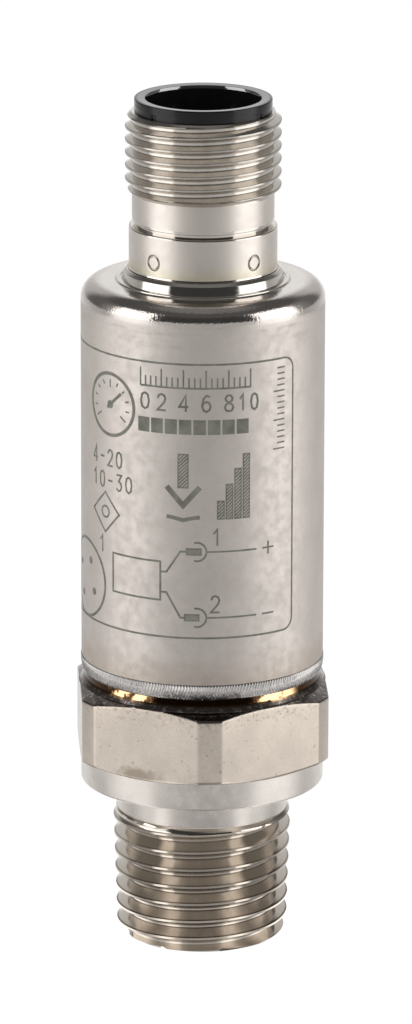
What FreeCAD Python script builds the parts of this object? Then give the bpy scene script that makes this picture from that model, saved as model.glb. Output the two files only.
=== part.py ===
"""Pressure transmitter with a hexagon, a tapered pipe thread and an M12 plug, in millimetres.

The axis is Z and the origin is the centre of the process end face. -Y is the front.
The pipe thread is drawn as seven V-grooves at its pitch, without their helix, and the fine
M12x1 thread as a plain cylinder at its major diameter.
"""
import FreeCAD, Part
import math
import os
import Sketcher

# Driving sizes: name, value in millimetres or degrees, meaning.
SIZES = [
    # process connection, from its end face upwards
    ("pipe_thread_dia", 13.15, "major diameter of the pipe thread at the end face"),
    ("pipe_taper", 16, "length over which the pipe thread grows 1 mm in diameter"),
    ("pipe_thread_length", 10.3, "threaded length"),
    ("pipe_turns", 7.3, "turns of the thread in that length"),
    ("pipe_crest", 0.09, "width of the flats on the thread's crests and roots"),
    ("pipe_start", 0.45, "part of a turn from the end face to the first root"),
    ("pipe_end_step", 0.875, "how far the end face stays inside the thread's outside"),
    ("pipe_lead_length", 0.3, "lead chamfer up to the first groove"),
    ("port_dia", 4.5, "pressure port"),
    ("port_chamfer", 0.5, "chamfer at the mouth of the port"),
    ("neck_dia", 13.2, "relief between thread and collar"),
    ("neck_length", 2.35, "length of that relief"),
    ("neck_fillet", 0.7, "fillet under the collar"),
    ("collar_setback", 0.125, "how far the round collar stays inside the flats"),
    ("collar_length", 2.1, "height of the collar"),
    ("collar_edge", 0.15, "broken lower edge of the collar"),
    ("hex_flats", 19, "wrench size across flats"),
    ("hex_corner_cut", 0.47, "how much turning takes off each corner"),
    ("hex_land_length", 4.98, "height of the turned corner lands"),
    ("hex_chamfer_angle", 20.5, "slope of the turned chamfers"),
    ("hex_turn", 3.35, "turn of the front corner away from -Y"),
    ("spigot_setback", 0.38, "how far the spigot stays inside the housing's outside"),
    ("spigot_length", 0.72, "height of that spigot"),
    ("register_length", 3, "height of the ring that centres the housing"),
    ("register_clearance", 0.03, "radial gap between that ring and the housing"),
    ("register_wall", 1.4, "wall of that ring, round the measuring cell's recess"),
    ("cell_seat_rise", 0.5, "recess floor above the top of the spigot"),
    # housing and its weld
    ("weld_height", 1.25, "height of the weld bead"),
    ("weld_bulge", 0.05, "how far the bead stands out of the housing"),
    ("weld_foot_step", 0.1, "how far the bead stands out of the spigot near its foot"),
    ("weld_crest_radius", 0.4, "rounded crest of the bead"),
    ("weld_clearance", 0.02, "radial gap between bead and register"),
    ("housing_dia", 18.66, "outside of the housing"),
    ("housing_wall", 0.9, "wall of the housing"),
    ("housing_length", 29.6, "weld bead to the edge of the roof"),
    ("shoulder_radius", 1.4, "rounded shoulder"),
    ("inner_radius", 0.5, "fillet inside the shoulder"),
    ("roof_rise", 0.15, "how far the roof slopes up to the throat"),
    ("throat_wall", 0.68, "wall of the throat at its top"),
    ("throat_flare", 0.35, "how much the upper ring widens towards its foot"),
    ("throat_ledge", 0.35, "width of the ledge on the lower ring"),
    ("throat_ledge_rise", 0.45, "edge of the roof to that ledge"),
    ("throat_height", 1, "edge of the roof to the top of the throat"),
    ("throat_depth", 1.5, "how far the throat reaches below the roof inside"),
    # threaded sleeve, from its thread inwards and downwards
    ("plug_thread_dia", 11.9, "major diameter of the M12x1 thread"),
    ("plug_thread_length", 6.3, "relief to the top of the sleeve"),
    ("plug_thread_chamfer", 0.5, "chamfer at the start of the thread"),
    ("relief_depth", 0.53, "how far the relief below the thread is turned down"),
    ("relief_length", 2.2, "height of the relief"),
    ("lip_groove_depth", 0.22, "narrow groove between relief and band"),
    ("lip_groove_length", 0.3, "height of that groove"),
    ("band_step", 0.46, "how far the smooth band stands out of the foot"),
    ("band_length", 3.3, "height of the band"),
    ("sleeve_wall", 1.17, "wall of the sleeve at its thread"),
    ("foot_wall", 1.02, "wall of the foot that is pressed into the throat"),
    ("foot_length", 3.2, "length of that foot"),
    ("press_clearance", 0.02, "radial gap drawn at the pressed foot"),
    ("crimp_dia", 1.35, "staking mark"),
    ("crimp_depth", 0.15, "depth of a staking mark"),
    ("crimp_rise", 1.2, "centre of the marks above the foot of the band"),
    ("crimp_spread", 85.1, "angle between the two front marks"),
    ("crimp_turn", 0.85, "turn of the middle between them away from -Y"),
    # contact carrier and pins
    ("rim_overhang", 0.5, "how far the plastic rim covers the top of the sleeve"),
    ("rim_height", 1, "height of the rim"),
    ("rim_chamfer", 0.2, "chamfer at the mouth of the socket"),
    ("socket_wall", 0.4, "wall of the socket"),
    ("socket_depth", 8.4, "rim to the socket floor"),
    ("skirt_length", 8.7, "length of that wall below the rim"),
    ("base_step", 0.6, "how much narrower the base that holds the pins is"),
    ("carrier_length", 16.8, "rim to the bottom of the base"),
    ("carrier_clearance", 0.03, "gap between carrier and sleeve"),
    ("key_width", 1.2, "coding key"),
    ("key_height", 0.6, "how far the key stands into the socket"),
    ("key_setback", 1.6, "rim to the top of the key"),
    ("pin_circle", 5, "circle that the four pins stand on"),
    ("pin_turn", 45, "turn of the first pin away from +X"),
    ("pin_dia", 1, "contact pin"),
    ("pin_tip_radius", 0.35, "rounded tip of a pin"),
    ("pin_setback", 2.35, "rim to the tips of the pins"),
    ("pin_clearance", 0.02, "gap between a pin and its hole"),
    ("tail_dia", 0.7, "solder tail of a pin"),
    ("tail_length", 3.4, "length of the tails below the carrier"),
    # seals: each ring fills its groove but for a small gap
    ("seal_gap", 0.02, "gap left round each drawn ring"),
    ("sleeve_groove_depth", 0.55, "groove in the sleeve's foot"),
    ("sleeve_groove_rise", 1.2, "middle of that groove above the foot's end"),
    ("carrier_groove_depth", 0.55, "groove in the carrier's base"),
    ("carrier_groove_rise", 3, "middle of that groove above the base's end"),
    # measuring cell
    ("cell_flange_width", 1, "how far the welded flange stands out of the cell"),
    ("cell_flange_height", 1, "height of the flange"),
    ("cell_dia", 8.4, "cell above its flange"),
    ("cell_height", 4, "whole height of the cell"),
    ("cell_wall", 1.4, "wall of the cell's cavity"),
    ("diaphragm_thickness", 0.3, "pressure-sensing diaphragm"),
    ("cell_weld_leg", 0.4, "fillet weld round the flange"),
    ("gauge_length", 0.9, "strain gauge"),
    ("gauge_width", 0.35, "width of a gauge"),
    ("gauge_thickness", 0.08, "thickness of a gauge"),
    ("gauge_inner", 0.4, "middle of the inner gauges from the axis"),
    ("gauge_outer", 1.9, "middle of the outer gauges from the axis"),
    ("cell_board_gap", 0.43, "gap round the ring-shaped board on the cell"),
    ("cell_board_seat", 1.6, "width of that board on the cell's end"),
    ("cell_board_thickness", 0.6, "thickness of that board"),
    # insulation, board holder and boards
    ("tube_wall", 0.2, "insulating tube inside the housing"),
    ("tube_gap", 0.05, "radial gap on each side of that tube"),
    ("tube_end_gap", 3.35, "end of that tube to the ceiling of the housing"),
    ("holder_wall", 1.9, "radial thickness of the board holder"),
    ("holder_ring_height", 2, "height of the holder's ring"),
    ("post_end_gap", 1.95, "top of the holder's posts to the connector board"),
    ("post_width", 3.2, "width of the posts"),
    ("slot_depth", 0.27, "how far the board reaches into the slots of the posts"),
    ("slot_clearance", 0.05, "gap round the board in its slots"),
    ("board_gap", 0.5, "cell board to the main board"),
    ("board_thickness", 1, "thickness of the main board"),
    ("tab_width", 2.2, "tab of the main board"),
    ("tab_rise", 0.3, "how far the tab stands above the connector board"),
    ("connector_board_gap", 0.58, "gap round the round board under the plug"),
    ("connector_board_thickness", 1, "thickness of that board"),
    ("connector_board_drop", 1.7, "carrier to the top of that board"),
    ("solder_dia", 1.5, "solder joint at the foot of a pin tail"),
    ("solder_height", 0.55, "height of a solder joint"),
    # flexible lead and ground spring
    ("lead_thickness", 0.15, "flexible lead"),
    ("lead_width", 4, "width of the lead"),
    ("lead_end_gap", 0.5, "end of the lead to the edge of the cell board"),
    ("lead_bend", 1, "inner radius of its bend"),
    ("lead_overlap", 4.5, "length of the lead on the main board"),
    ("spring_thickness", 0.15, "ground spring"),
    ("spring_width", 2, "width of the spring"),
    ("spring_foot", 2.2, "length of its soldered foot"),
    ("spring_rise", 1.8, "height of its arm"),
    ("spring_gap", 0.05, "gap left between the spring and the housing"),
    # parts on the main board
    ("chip_side", 5, "signal chip"),
    ("chip_height", 0.9, "height of the chip"),
    ("chip_drop", 11.35, "connector board to the middle of the chip"),
    ("regulator_width", 3, "voltage regulator"),
    ("regulator_length", 2.4, "length of the regulator"),
    ("regulator_height", 1.1, "height of the regulator"),
    ("regulator_drop", 10.35, "connector board to the middle of the regulator"),
    ("capacitor_length", 1.6, "capacitor"),
    ("capacitor_width", 0.8, "width of a capacitor"),
    ("capacitor_height", 0.8, "height of a capacitor"),
    ("resistor_length", 1, "resistor"),
    ("resistor_width", 0.5, "width of a resistor"),
    ("resistor_height", 0.35, "height of a resistor"),
    ("diode_length", 2.6, "protection diode"),
    ("diode_width", 1.6, "width of a diode"),
    ("diode_height", 1.1, "height of a diode"),
    ("part_pitch", 2.4, "spacing of the small parts"),
]

doc = FreeCAD.newDocument("PressureTransmitter")
sheet = doc.addObject("Spreadsheet::Sheet", "Sizes")
for row, (alias, value, meaning) in enumerate(SIZES, start=1):
    sheet.set("A%d" % row, alias)
    sheet.set("B%d" % row, str(value))
    sheet.set("C%d" % row, meaning)
    sheet.setAlias("B%d" % row, alias)
doc.recompute()

# Radii that several pieces share, as expressions of the driving sizes.
HEX_CORNER_R = "(Sizes.hex_flats / 2 / cos(30) - Sizes.hex_corner_cut)"
COLLAR_R = "(Sizes.hex_flats / 2 - Sizes.collar_setback)"
HOUSING_R = "(Sizes.housing_dia / 2)"
SPIGOT_R = "(%s - Sizes.spigot_setback)" % HOUSING_R
BORE_R = "(%s - Sizes.housing_wall)" % HOUSING_R
REGISTER_R = "(%s - Sizes.register_clearance)" % BORE_R
TUBE_OUTER_R = "(%s - Sizes.tube_gap)" % BORE_R
TUBE_INNER_R = "(%s - Sizes.tube_wall)" % TUBE_OUTER_R
HOLDER_R = "(%s - Sizes.tube_gap)" % TUBE_INNER_R
HOLDER_INNER_R = "(%s - Sizes.holder_wall)" % HOLDER_R
CONNECTOR_BOARD_R = "(%s - Sizes.connector_board_gap)" % TUBE_INNER_R
CELL_R = "(Sizes.cell_dia / 2)"
CELL_BOARD_R = "(%s - Sizes.cell_board_gap)" % HOLDER_INNER_R
THREAD_R = "(Sizes.plug_thread_dia / 2)"
SLEEVE_BORE_R = "(%s - Sizes.sleeve_wall)" % THREAD_R
SKIRT_R = "(%s - Sizes.carrier_clearance)" % SLEEVE_BORE_R
SOCKET_R = "(%s - Sizes.socket_wall)" % SKIRT_R
BASE_R = "(%s - Sizes.base_step)" % SKIRT_R
FOOT_BORE_R = "(%s + Sizes.carrier_clearance)" % BASE_R
FOOT_R = "(%s + Sizes.foot_wall)" % FOOT_BORE_R
BAND_R = "(%s + Sizes.band_step)" % FOOT_R
THROAT_BORE_R = "(%s + Sizes.press_clearance)" % FOOT_R
THROAT_TOP_R = "(%s + Sizes.throat_wall)" % THROAT_BORE_R
THROAT_STEP_R = "(%s + Sizes.throat_flare)" % THROAT_TOP_R
THROAT_R = "(%s + Sizes.throat_ledge)" % THROAT_STEP_R
PIN_PLACE = ("Sizes.pin_circle / 2 * cos(Sizes.pin_turn)",
             "Sizes.pin_circle / 2 * sin(Sizes.pin_turn)")
TAIL_HOLE_R = "(Sizes.tail_dia / 2 + Sizes.pin_clearance)"

# Heights above the end face.
COLLAR_Z = "(Sizes.pipe_thread_length + Sizes.neck_length)"
HEX_Z = "(%s + Sizes.collar_length)" % COLLAR_Z
LAND_Z = "(%s + (%s - %s) * tan(Sizes.hex_chamfer_angle))" % (HEX_Z, HEX_CORNER_R, COLLAR_R)
LAND_TOP_Z = "(%s + Sizes.hex_land_length)" % LAND_Z
SPIGOT_Z = "(%s + (%s - %s) * tan(Sizes.hex_chamfer_angle))" % (LAND_TOP_Z, HEX_CORNER_R, SPIGOT_R)
WELD_Z = "(%s + Sizes.spigot_length)" % SPIGOT_Z
CELL_Z = "(%s + Sizes.cell_seat_rise)" % WELD_Z
CELL_BOARD_Z = "(%s + Sizes.cell_height)" % CELL_Z
REGISTER_TOP_Z = "(%s + Sizes.register_length)" % WELD_Z
BOARD_Z = "(%s + Sizes.cell_board_thickness + Sizes.board_gap)" % CELL_BOARD_Z
HOUSING_Z = "(%s + Sizes.weld_height)" % WELD_Z
CEILING_Z = "(%s + Sizes.housing_length - Sizes.housing_wall)" % HOUSING_Z
SLEEVE_Z = "(%s + Sizes.housing_length + Sizes.throat_height)" % HOUSING_Z
SLEEVE_LENGTH = ("(Sizes.band_length + Sizes.lip_groove_length"
                 " + Sizes.relief_length + Sizes.plug_thread_length)")
CARRIER_Z = "(%s + %s + Sizes.rim_height - Sizes.carrier_length)" % (SLEEVE_Z, SLEEVE_LENGTH)
CONNECTOR_BOARD_Z = ("(%s - Sizes.connector_board_drop - Sizes.connector_board_thickness)"
                     % CARRIER_Z)

# Half of the main board's thickness and width, and its height up to the connector board.
BOARD_FACE = "(Sizes.board_thickness / 2)"
BOARD_EDGE = "(%s + Sizes.slot_depth)" % HOLDER_INNER_R
BOARD_HEIGHT = "(%s - %s)" % (CONNECTOR_BOARD_Z, BOARD_Z)


def value(expression):
    """The number that an expression of the driving sizes gives."""
    return float(sheet.evalExpression(expression))


def new_body(label, height="0"):
    """A sub-part whose own origin lies on the axis at a height."""
    body = doc.addObject("PartDesign::Body", label)
    body.Label = label
    body.setExpression("Placement.Base.z", height)
    return body


def new_sketch(body, name, role, lift="0"):
    """A sketch on one of the body's own planes, lifted along the plane's normal."""
    sketch = body.newObject("Sketcher::SketchObject", body.Name + "_" + name)
    plane = [item for item in body.Origin.OriginFeatures if item.Role == role][0]
    sketch.AttachmentSupport = (plane, [""])
    sketch.MapMode = "FlatFace"
    sketch.setExpression("AttachmentOffset.Base.z", lift)
    return sketch


def hold_point(sketch, geometry, position, across, up):
    """Hold a point of a sketch at two expressions of the driving sizes."""
    for kind, text in (("DistanceX", across), ("DistanceY", up)):
        constraint = Sketcher.Constraint(kind, -1, 1, geometry, position, value(text))
        index = sketch.addConstraint(constraint)
        sketch.setExpression("Constraints[%d]" % index, text)


def tangent_points(previous, corner, following, radius):
    """Where an arc of a radius touches the two sides that meet at a corner."""
    back = (previous - corner).normalize()
    ahead = (following - corner).normalize()
    reach = radius / math.tan(back.getAngle(ahead) / 2)
    return corner + back * reach, corner + ahead * reach


def outline(sketch, corners):
    """A closed outline through corners of expressions: across, up and, if rounded, radius."""
    count = len(corners)
    points = [FreeCAD.Vector(value(corner[0]), value(corner[1]), 0) for corner in corners]
    ends = []
    for i, corner in enumerate(corners):
        if len(corner) == 2:
            ends.append((points[i], points[i]))
        else:
            following = points[(i + 1) % count]
            ends.append(tangent_points(points[i - 1], points[i], following, value(corner[2])))
    sides = []
    for i in range(count):
        line = Part.LineSegment(ends[i][1], ends[(i + 1) % count][0])
        sides.append(sketch.addGeometry(line))
    for i, corner in enumerate(corners):
        if len(corner) == 2:
            sketch.addConstraint(Sketcher.Constraint("Coincident", sides[i - 1], 2, sides[i], 1))
            hold_point(sketch, sides[i], 1, corner[0], corner[1])
        else:
            round_corner(sketch, sides[i - 1], sides[i], ends[i], points[i], corner)


def round_corner(sketch, before, after, ends, point, corner):
    """Join two sides by a tangent arc, with a construction point where they would meet."""
    across, up, radius = corner
    middle = (ends[0] + ends[1]) / 2
    half_turn = math.asin(ends[0].distanceToPoint(middle) / value(radius))
    top = middle + (point - middle).normalize() * (value(radius) * (1 - math.cos(half_turn)))
    index = sketch.addGeometry(Part.Arc(ends[0], top, ends[1]))
    start = 1 if sketch.getPoint(index, 1).isEqual(ends[0], 1e-7) else 2
    sketch.addConstraint(Sketcher.Constraint("Tangent", before, 2, index, start))
    sketch.addConstraint(Sketcher.Constraint("Tangent", index, 3 - start, after, 1))
    size = sketch.addConstraint(Sketcher.Constraint("Radius", index, value(radius)))
    sketch.setExpression("Constraints[%d]" % size, radius)
    mark = sketch.addGeometry(Part.Point(point), True)
    hold_point(sketch, mark, 1, across, up)
    sketch.addConstraint(Sketcher.Constraint("PointOnObject", mark, 1, before))
    sketch.addConstraint(Sketcher.Constraint("PointOnObject", mark, 1, after))


def rectangle(sketch, left, right, bottom, top):
    """A rectangle between four expressions."""
    outline(sketch, [(left, bottom), (right, bottom), (right, top), (left, top)])


def circle(sketch, radius, across="0", up="0"):
    """A circle whose radius and centre are expressions."""
    centre = FreeCAD.Vector(value(across), value(up), 0)
    index = sketch.addGeometry(Part.Circle(centre, FreeCAD.Vector(0, 0, 1), value(radius)))
    hold_point(sketch, index, 3, across, up)
    constraint = sketch.addConstraint(Sketcher.Constraint("Radius", index, value(radius)))
    sketch.setExpression("Constraints[%d]" % constraint, radius)


def hexagon(sketch, flats, turn):
    """A hexagon given by its width across flats, turned from -Y."""
    corner = "%s / 2 / cos(30)" % flats
    corners = []
    for i in range(6):
        angle = "(%s + %d)" % (turn, 60 * i - 90)
        corners.append(("%s * cos%s" % (corner, angle), "%s * sin%s" % (corner, angle)))
    outline(sketch, corners)


def finish(body, feature):
    """Make a feature the body's tip and recompute it."""
    body.Tip = feature
    doc.recompute()
    return feature


def revolve(body, corners, name="profile"):
    """A solid of revolution from a half section given as (radius, height) corners."""
    sketch = new_sketch(body, name, "XZ_Plane")
    outline(sketch, corners)
    feature = body.newObject("PartDesign::Revolution", body.Name + "_" + name + "_turned")
    feature.Profile = sketch
    feature.ReferenceAxis = (sketch, ["V_Axis"])
    feature.Angle = 360
    return finish(body, feature)


def pad(body, sketch, length, symmetric=False, reverse=False):
    """Add a sketch's profile over a length."""
    feature = body.newObject("PartDesign::Pad", sketch.Name + "_pad")
    feature.Profile = sketch
    feature.setExpression("Length", length)
    feature.Reversed = reverse
    if symmetric:
        feature.SideType = "Symmetric"
    return finish(body, feature)


def pocket(body, sketch, length, reverse=True):
    """Cut a sketch's profile over a length, along the sketch's normal unless not reversed."""
    before = body.Shape.Volume
    feature = body.newObject("PartDesign::Pocket", sketch.Name + "_pocket")
    feature.Profile = sketch
    feature.setExpression("Length", length)
    feature.Reversed = reverse
    finish(body, feature)
    if feature.Shape.Volume >= before:
        raise RuntimeError("%s cuts nothing" % feature.Label)
    return feature


def repeat_round(body, features, count):
    """Repeat features at equal angles about the axis."""
    pattern = body.newObject("PartDesign::PolarPattern", features[0].Name + "_pattern")
    pattern.Originals = features
    axis = [item for item in body.Origin.OriginFeatures if item.Role == "Z_Axis"][0]
    pattern.Axis = (axis, [""])
    pattern.Angle = 360
    pattern.Occurrences = count
    return finish(body, pattern)


def pipe_thread():
    """The corners of the tapered thread, from the end face to the last crest."""
    pitch = "(Sizes.pipe_thread_length / Sizes.pipe_turns)"
    flank = "(%s / 2 - Sizes.pipe_crest)" % pitch
    outside = "(Sizes.pipe_thread_dia / 2 + %s / Sizes.pipe_taper / 2)"
    end = "Sizes.pipe_thread_dia / 2 - Sizes.pipe_end_step"
    corners = [(end, "0"), (end + " + Sizes.pipe_lead_length", "Sizes.pipe_lead_length")]
    for groove in range(7):
        root = "(%s * (%d + Sizes.pipe_start))" % (pitch, groove)
        floor = "(%s - %s * tan(60))" % (outside % root, flank)
        low = "(%s - Sizes.pipe_crest / 2 - %s)" % (root, flank)
        high = "(%s + Sizes.pipe_crest / 2 + %s)" % (root, flank)
        if groove > 0:
            corners.append((outside % low, low))
        corners.append((floor, root + " - Sizes.pipe_crest / 2"))
        corners.append((floor, root + " + Sizes.pipe_crest / 2"))
        corners.append((outside % high, high))
    corners.append((outside % high, high + " + Sizes.pipe_crest"))
    return corners


def build_process_connection():
    """One turned piece: pipe thread, neck, collar, hexagon, spigot and register ring."""
    body = new_body("process_connection")
    port = "Sizes.port_dia / 2"
    revolve(body, [
        (port + " + Sizes.port_chamfer", "0"),
        *pipe_thread(),
        ("Sizes.neck_dia / 2", "Sizes.pipe_thread_length + Sizes.collar_edge"),
        ("Sizes.neck_dia / 2", COLLAR_Z, "Sizes.neck_fillet"),
        (COLLAR_R + " - Sizes.collar_edge", COLLAR_Z),
        (COLLAR_R, COLLAR_Z + " + Sizes.collar_edge"),
        (COLLAR_R, HEX_Z),
        (HEX_CORNER_R, LAND_Z),
        (HEX_CORNER_R, LAND_TOP_Z),
        (SPIGOT_R, SPIGOT_Z),
        (SPIGOT_R, WELD_Z),
        (REGISTER_R, WELD_Z),
        (REGISTER_R, REGISTER_TOP_Z),
        (REGISTER_R + " - Sizes.register_wall", REGISTER_TOP_Z),
        (REGISTER_R + " - Sizes.register_wall", CELL_Z),
        (port, CELL_Z),
        (port, "Sizes.port_chamfer"),
    ])
    flats = new_sketch(body, "flats", "XY_Plane", HEX_Z)
    circle(flats, HEX_CORNER_R + " + Sizes.collar_length")
    hexagon(flats, "Sizes.hex_flats", "Sizes.hex_turn")
    pocket(body, flats, "%s - %s" % (WELD_Z, HEX_Z))
    return body


def build_measuring_cell():
    """A steel cup whose thin end is the diaphragm."""
    body = new_body("measuring_cell", CELL_Z)
    ceiling = "Sizes.cell_height - Sizes.diaphragm_thickness"
    cavity = "(%s - Sizes.cell_wall)" % CELL_R
    flange = "(%s + Sizes.cell_flange_width)" % CELL_R
    revolve(body, [
        (cavity, "0"),
        (flange, "0"),
        (flange, "Sizes.cell_flange_height"),
        (CELL_R, "Sizes.cell_flange_height"),
        (CELL_R, "Sizes.cell_height"),
        ("0", "Sizes.cell_height"),
        ("0", ceiling),
        (cavity, ceiling, "Sizes.diaphragm_thickness"),
    ])
    return body


def build_cell_weld():
    """The fillet weld between the cell's flange and the process connection."""
    body = new_body("cell_weld", CELL_Z)
    flange = "%s + Sizes.cell_flange_width + Sizes.weld_clearance" % CELL_R
    revolve(body, [
        (flange, "0"),
        (flange + " + Sizes.cell_weld_leg", "0"),
        (flange, "Sizes.cell_weld_leg"),
    ])
    return body


def build_strain_gauges():
    """Four gauges on the diaphragm: two at its middle, two near its edge."""
    body = new_body("strain_gauges", CELL_BOARD_Z)
    sketch = new_sketch(body, "bars", "XY_Plane")
    half_length = "Sizes.gauge_length / 2"
    half_width = "Sizes.gauge_width / 2"
    for sign in ("-", ""):
        inner = "(%sSizes.gauge_inner)" % sign
        outer = "(%sSizes.gauge_outer)" % sign
        rectangle(sketch, "-" + half_length, half_length,
                  "%s - %s" % (inner, half_width), "%s + %s" % (inner, half_width))
        rectangle(sketch, "%s - %s" % (outer, half_width), "%s + %s" % (outer, half_width),
                  "-" + half_length, half_length)
    pad(body, sketch, "Sizes.gauge_thickness")
    return body


def build_cell_board():
    """The ring-shaped board that lies on the cell's edge."""
    body = new_body("cell_board", CELL_BOARD_Z)
    sketch = new_sketch(body, "ring", "XY_Plane")
    circle(sketch, CELL_BOARD_R)
    circle(sketch, "%s - Sizes.cell_board_seat" % CELL_R)
    pad(body, sketch, "Sizes.cell_board_thickness")
    return body


def build_flex_lead():
    """A bent strip from the top of the cell board up one face of the main board."""
    body = new_body("flex_lead", CELL_BOARD_Z + " + Sizes.cell_board_thickness")
    sketch = new_sketch(body, "side", "YZ_Plane")
    outer = BOARD_FACE + " + Sizes.lead_thickness"
    rise = "Sizes.board_gap + Sizes.lead_overlap"
    end = CELL_BOARD_R + " - Sizes.lead_end_gap"
    outline(sketch, [
        (BOARD_FACE, "0", "Sizes.lead_bend + Sizes.lead_thickness"),
        (end, "0"),
        (end, "Sizes.lead_thickness"),
        (outer, "Sizes.lead_thickness", "Sizes.lead_bend"),
        (outer, rise),
        (BOARD_FACE, rise),
    ])
    pad(body, sketch, "Sizes.lead_width", symmetric=True)
    return body


def board_slot(body, half_width, height, length):
    """Cut a slot that the main board or its tab passes through."""
    sketch = new_sketch(body, "slot", "XY_Plane", height)
    side = "(%s + Sizes.slot_clearance)" % half_width
    face = "(%s + Sizes.slot_clearance)" % BOARD_FACE
    rectangle(sketch, "-" + side, side, "-" + face, face)
    return pocket(body, sketch, length)


def build_board_holder():
    """A plastic ring on the register with two slotted posts for the main board."""
    body = new_body("board_holder", REGISTER_TOP_Z)
    height = "(%s - %s - Sizes.post_end_gap)" % (CONNECTOR_BOARD_Z, REGISTER_TOP_Z)
    ring = new_sketch(body, "ring", "XY_Plane")
    circle(ring, HOLDER_R)
    circle(ring, HOLDER_INNER_R)
    pad(body, ring, height)
    sides = new_sketch(body, "sides", "XY_Plane", "Sizes.holder_ring_height")
    for sign in ("-", ""):
        near = "%sSizes.post_width / 2" % sign
        rectangle(sides, "-" + HOUSING_R, HOUSING_R, near, sign + HOUSING_R)
    pocket(body, sides, height)
    board_slot(body, BOARD_EDGE, "%s - %s" % (BOARD_Z, REGISTER_TOP_Z), height)
    return body


def build_main_board():
    """The upright board, with a tab through the connector board."""
    body = new_body("main_board", BOARD_Z)
    sketch = new_sketch(body, "face", "XZ_Plane")
    tab = "Sizes.tab_width / 2"
    tip = BOARD_HEIGHT + " + Sizes.connector_board_thickness + Sizes.tab_rise"
    outline(sketch, [
        ("-" + BOARD_EDGE, "0"),
        (BOARD_EDGE, "0"),
        (BOARD_EDGE, BOARD_HEIGHT),
        (tab, BOARD_HEIGHT),
        (tab, tip),
        ("-" + tab, tip),
        ("-" + tab, BOARD_HEIGHT),
        ("-" + BOARD_EDGE, BOARD_HEIGHT),
    ])
    pad(body, sketch, "Sizes.board_thickness", symmetric=True)
    return body


def build_board_parts(label, size, places, front):
    """Box-shaped parts soldered to the front or the back of the main board."""
    body = new_body(label, BOARD_Z)
    width, length, height = ["Sizes." + name for name in size]
    sketch = new_sketch(body, "outlines", "XZ_Plane", BOARD_FACE if front else "-" + BOARD_FACE)
    for across, up in places:
        rectangle(sketch, "%s - %s / 2" % (across, width), "%s + %s / 2" % (across, width),
                  "%s - %s / 2" % (up, length), "%s + %s / 2" % (up, length))
    pad(body, sketch, height, reverse=not front)
    return body


def build_all_board_parts():
    """Signal chip, regulator, capacitors, resistors and diodes, placed from the board's top."""
    pitch = "Sizes.part_pitch"
    chip_z = "(%s - Sizes.chip_drop)" % BOARD_HEIGHT
    regulator_z = "(%s - Sizes.regulator_drop)" % BOARD_HEIGHT
    above_chip = "%s + Sizes.chip_side / 2 + %s" % (chip_z, pitch)
    build_board_parts("signal_chip", ("chip_side", "chip_side", "chip_height"),
                      [("0", chip_z)], front=True)
    build_board_parts("voltage_regulator",
                      ("regulator_width", "regulator_length", "regulator_height"),
                      [("0", regulator_z)], front=False)
    columns = ["-1.5 * " + pitch, "-0.5 * " + pitch, "0.5 * " + pitch, "1.5 * " + pitch]
    build_board_parts("capacitors", ("capacitor_length", "capacitor_width", "capacitor_height"),
                      [(column, above_chip) for column in columns], front=True)
    rows = ["%s + Sizes.regulator_length / 2 + %d * %s / 2" % (regulator_z, n, pitch)
            for n in (1, 2, 3)]
    build_board_parts("resistors", ("resistor_length", "resistor_width", "resistor_height"),
                      [(column, row) for row in rows for column in columns[1:3]], front=False)
    build_board_parts("protection_diodes", ("diode_width", "diode_length", "diode_height"),
                      [(side + pitch, above_chip + " + %s" % pitch) for side in ("-", "")],
                      front=True)


def pin_holes(body, radius, length):
    """Cut four holes on the pin circle."""
    sketch = new_sketch(body, "hole", "XY_Plane")
    circle(sketch, radius, *PIN_PLACE)
    return repeat_round(body, [pocket(body, sketch, length)], 4)


def build_connector_board():
    """The round board that takes the four pin tails and the main board's tab."""
    body = new_body("connector_board", CONNECTOR_BOARD_Z)
    disc = new_sketch(body, "disc", "XY_Plane")
    circle(disc, CONNECTOR_BOARD_R)
    pad(body, disc, "Sizes.connector_board_thickness")
    pin_holes(body, TAIL_HOLE_R, "Sizes.connector_board_thickness")
    board_slot(body, "Sizes.tab_width / 2", "0", "Sizes.connector_board_thickness")
    return body


def build_pin_solder():
    """Four solder cones under the connector board, one round each pin tail."""
    body = new_body("pin_solder", CONNECTOR_BOARD_Z + " - Sizes.solder_height")
    foot = new_sketch(body, "foot", "XY_Plane")
    circle(foot, TAIL_HOLE_R + " + Sizes.pin_clearance", *PIN_PLACE)
    top = new_sketch(body, "top", "XY_Plane", "Sizes.solder_height")
    circle(top, "Sizes.solder_dia / 2", *PIN_PLACE)
    cone = body.newObject("PartDesign::AdditiveLoft", "pin_solder_cone")
    cone.Profile = foot
    cone.Sections = [top]
    finish(body, cone)
    hole = new_sketch(body, "hole", "XY_Plane")
    circle(hole, TAIL_HOLE_R, *PIN_PLACE)
    cut = pocket(body, hole, "Sizes.solder_height")
    repeat_round(body, [cone, cut], 4)
    return body


def build_contact_pin(number):
    """One gold contact pin with a rounded tip and a thin solder tail."""
    body = new_body("contact_pin_%d" % number, CARRIER_Z + " - Sizes.tail_length")
    angle = "(Sizes.pin_turn + %d)" % (90 * number - 90)
    body.setExpression("Placement.Base.x", "Sizes.pin_circle / 2 * cos" + angle)
    body.setExpression("Placement.Base.y", "Sizes.pin_circle / 2 * sin" + angle)
    tip = "Sizes.tail_length + Sizes.carrier_length - Sizes.pin_setback"
    revolve(body, [
        ("0", "0"),
        ("Sizes.tail_dia / 2", "0"),
        ("Sizes.tail_dia / 2", "Sizes.tail_length"),
        ("Sizes.pin_dia / 2", "Sizes.tail_length"),
        ("Sizes.pin_dia / 2", tip, "Sizes.pin_tip_radius"),
        ("0", tip),
    ])
    return body


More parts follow.
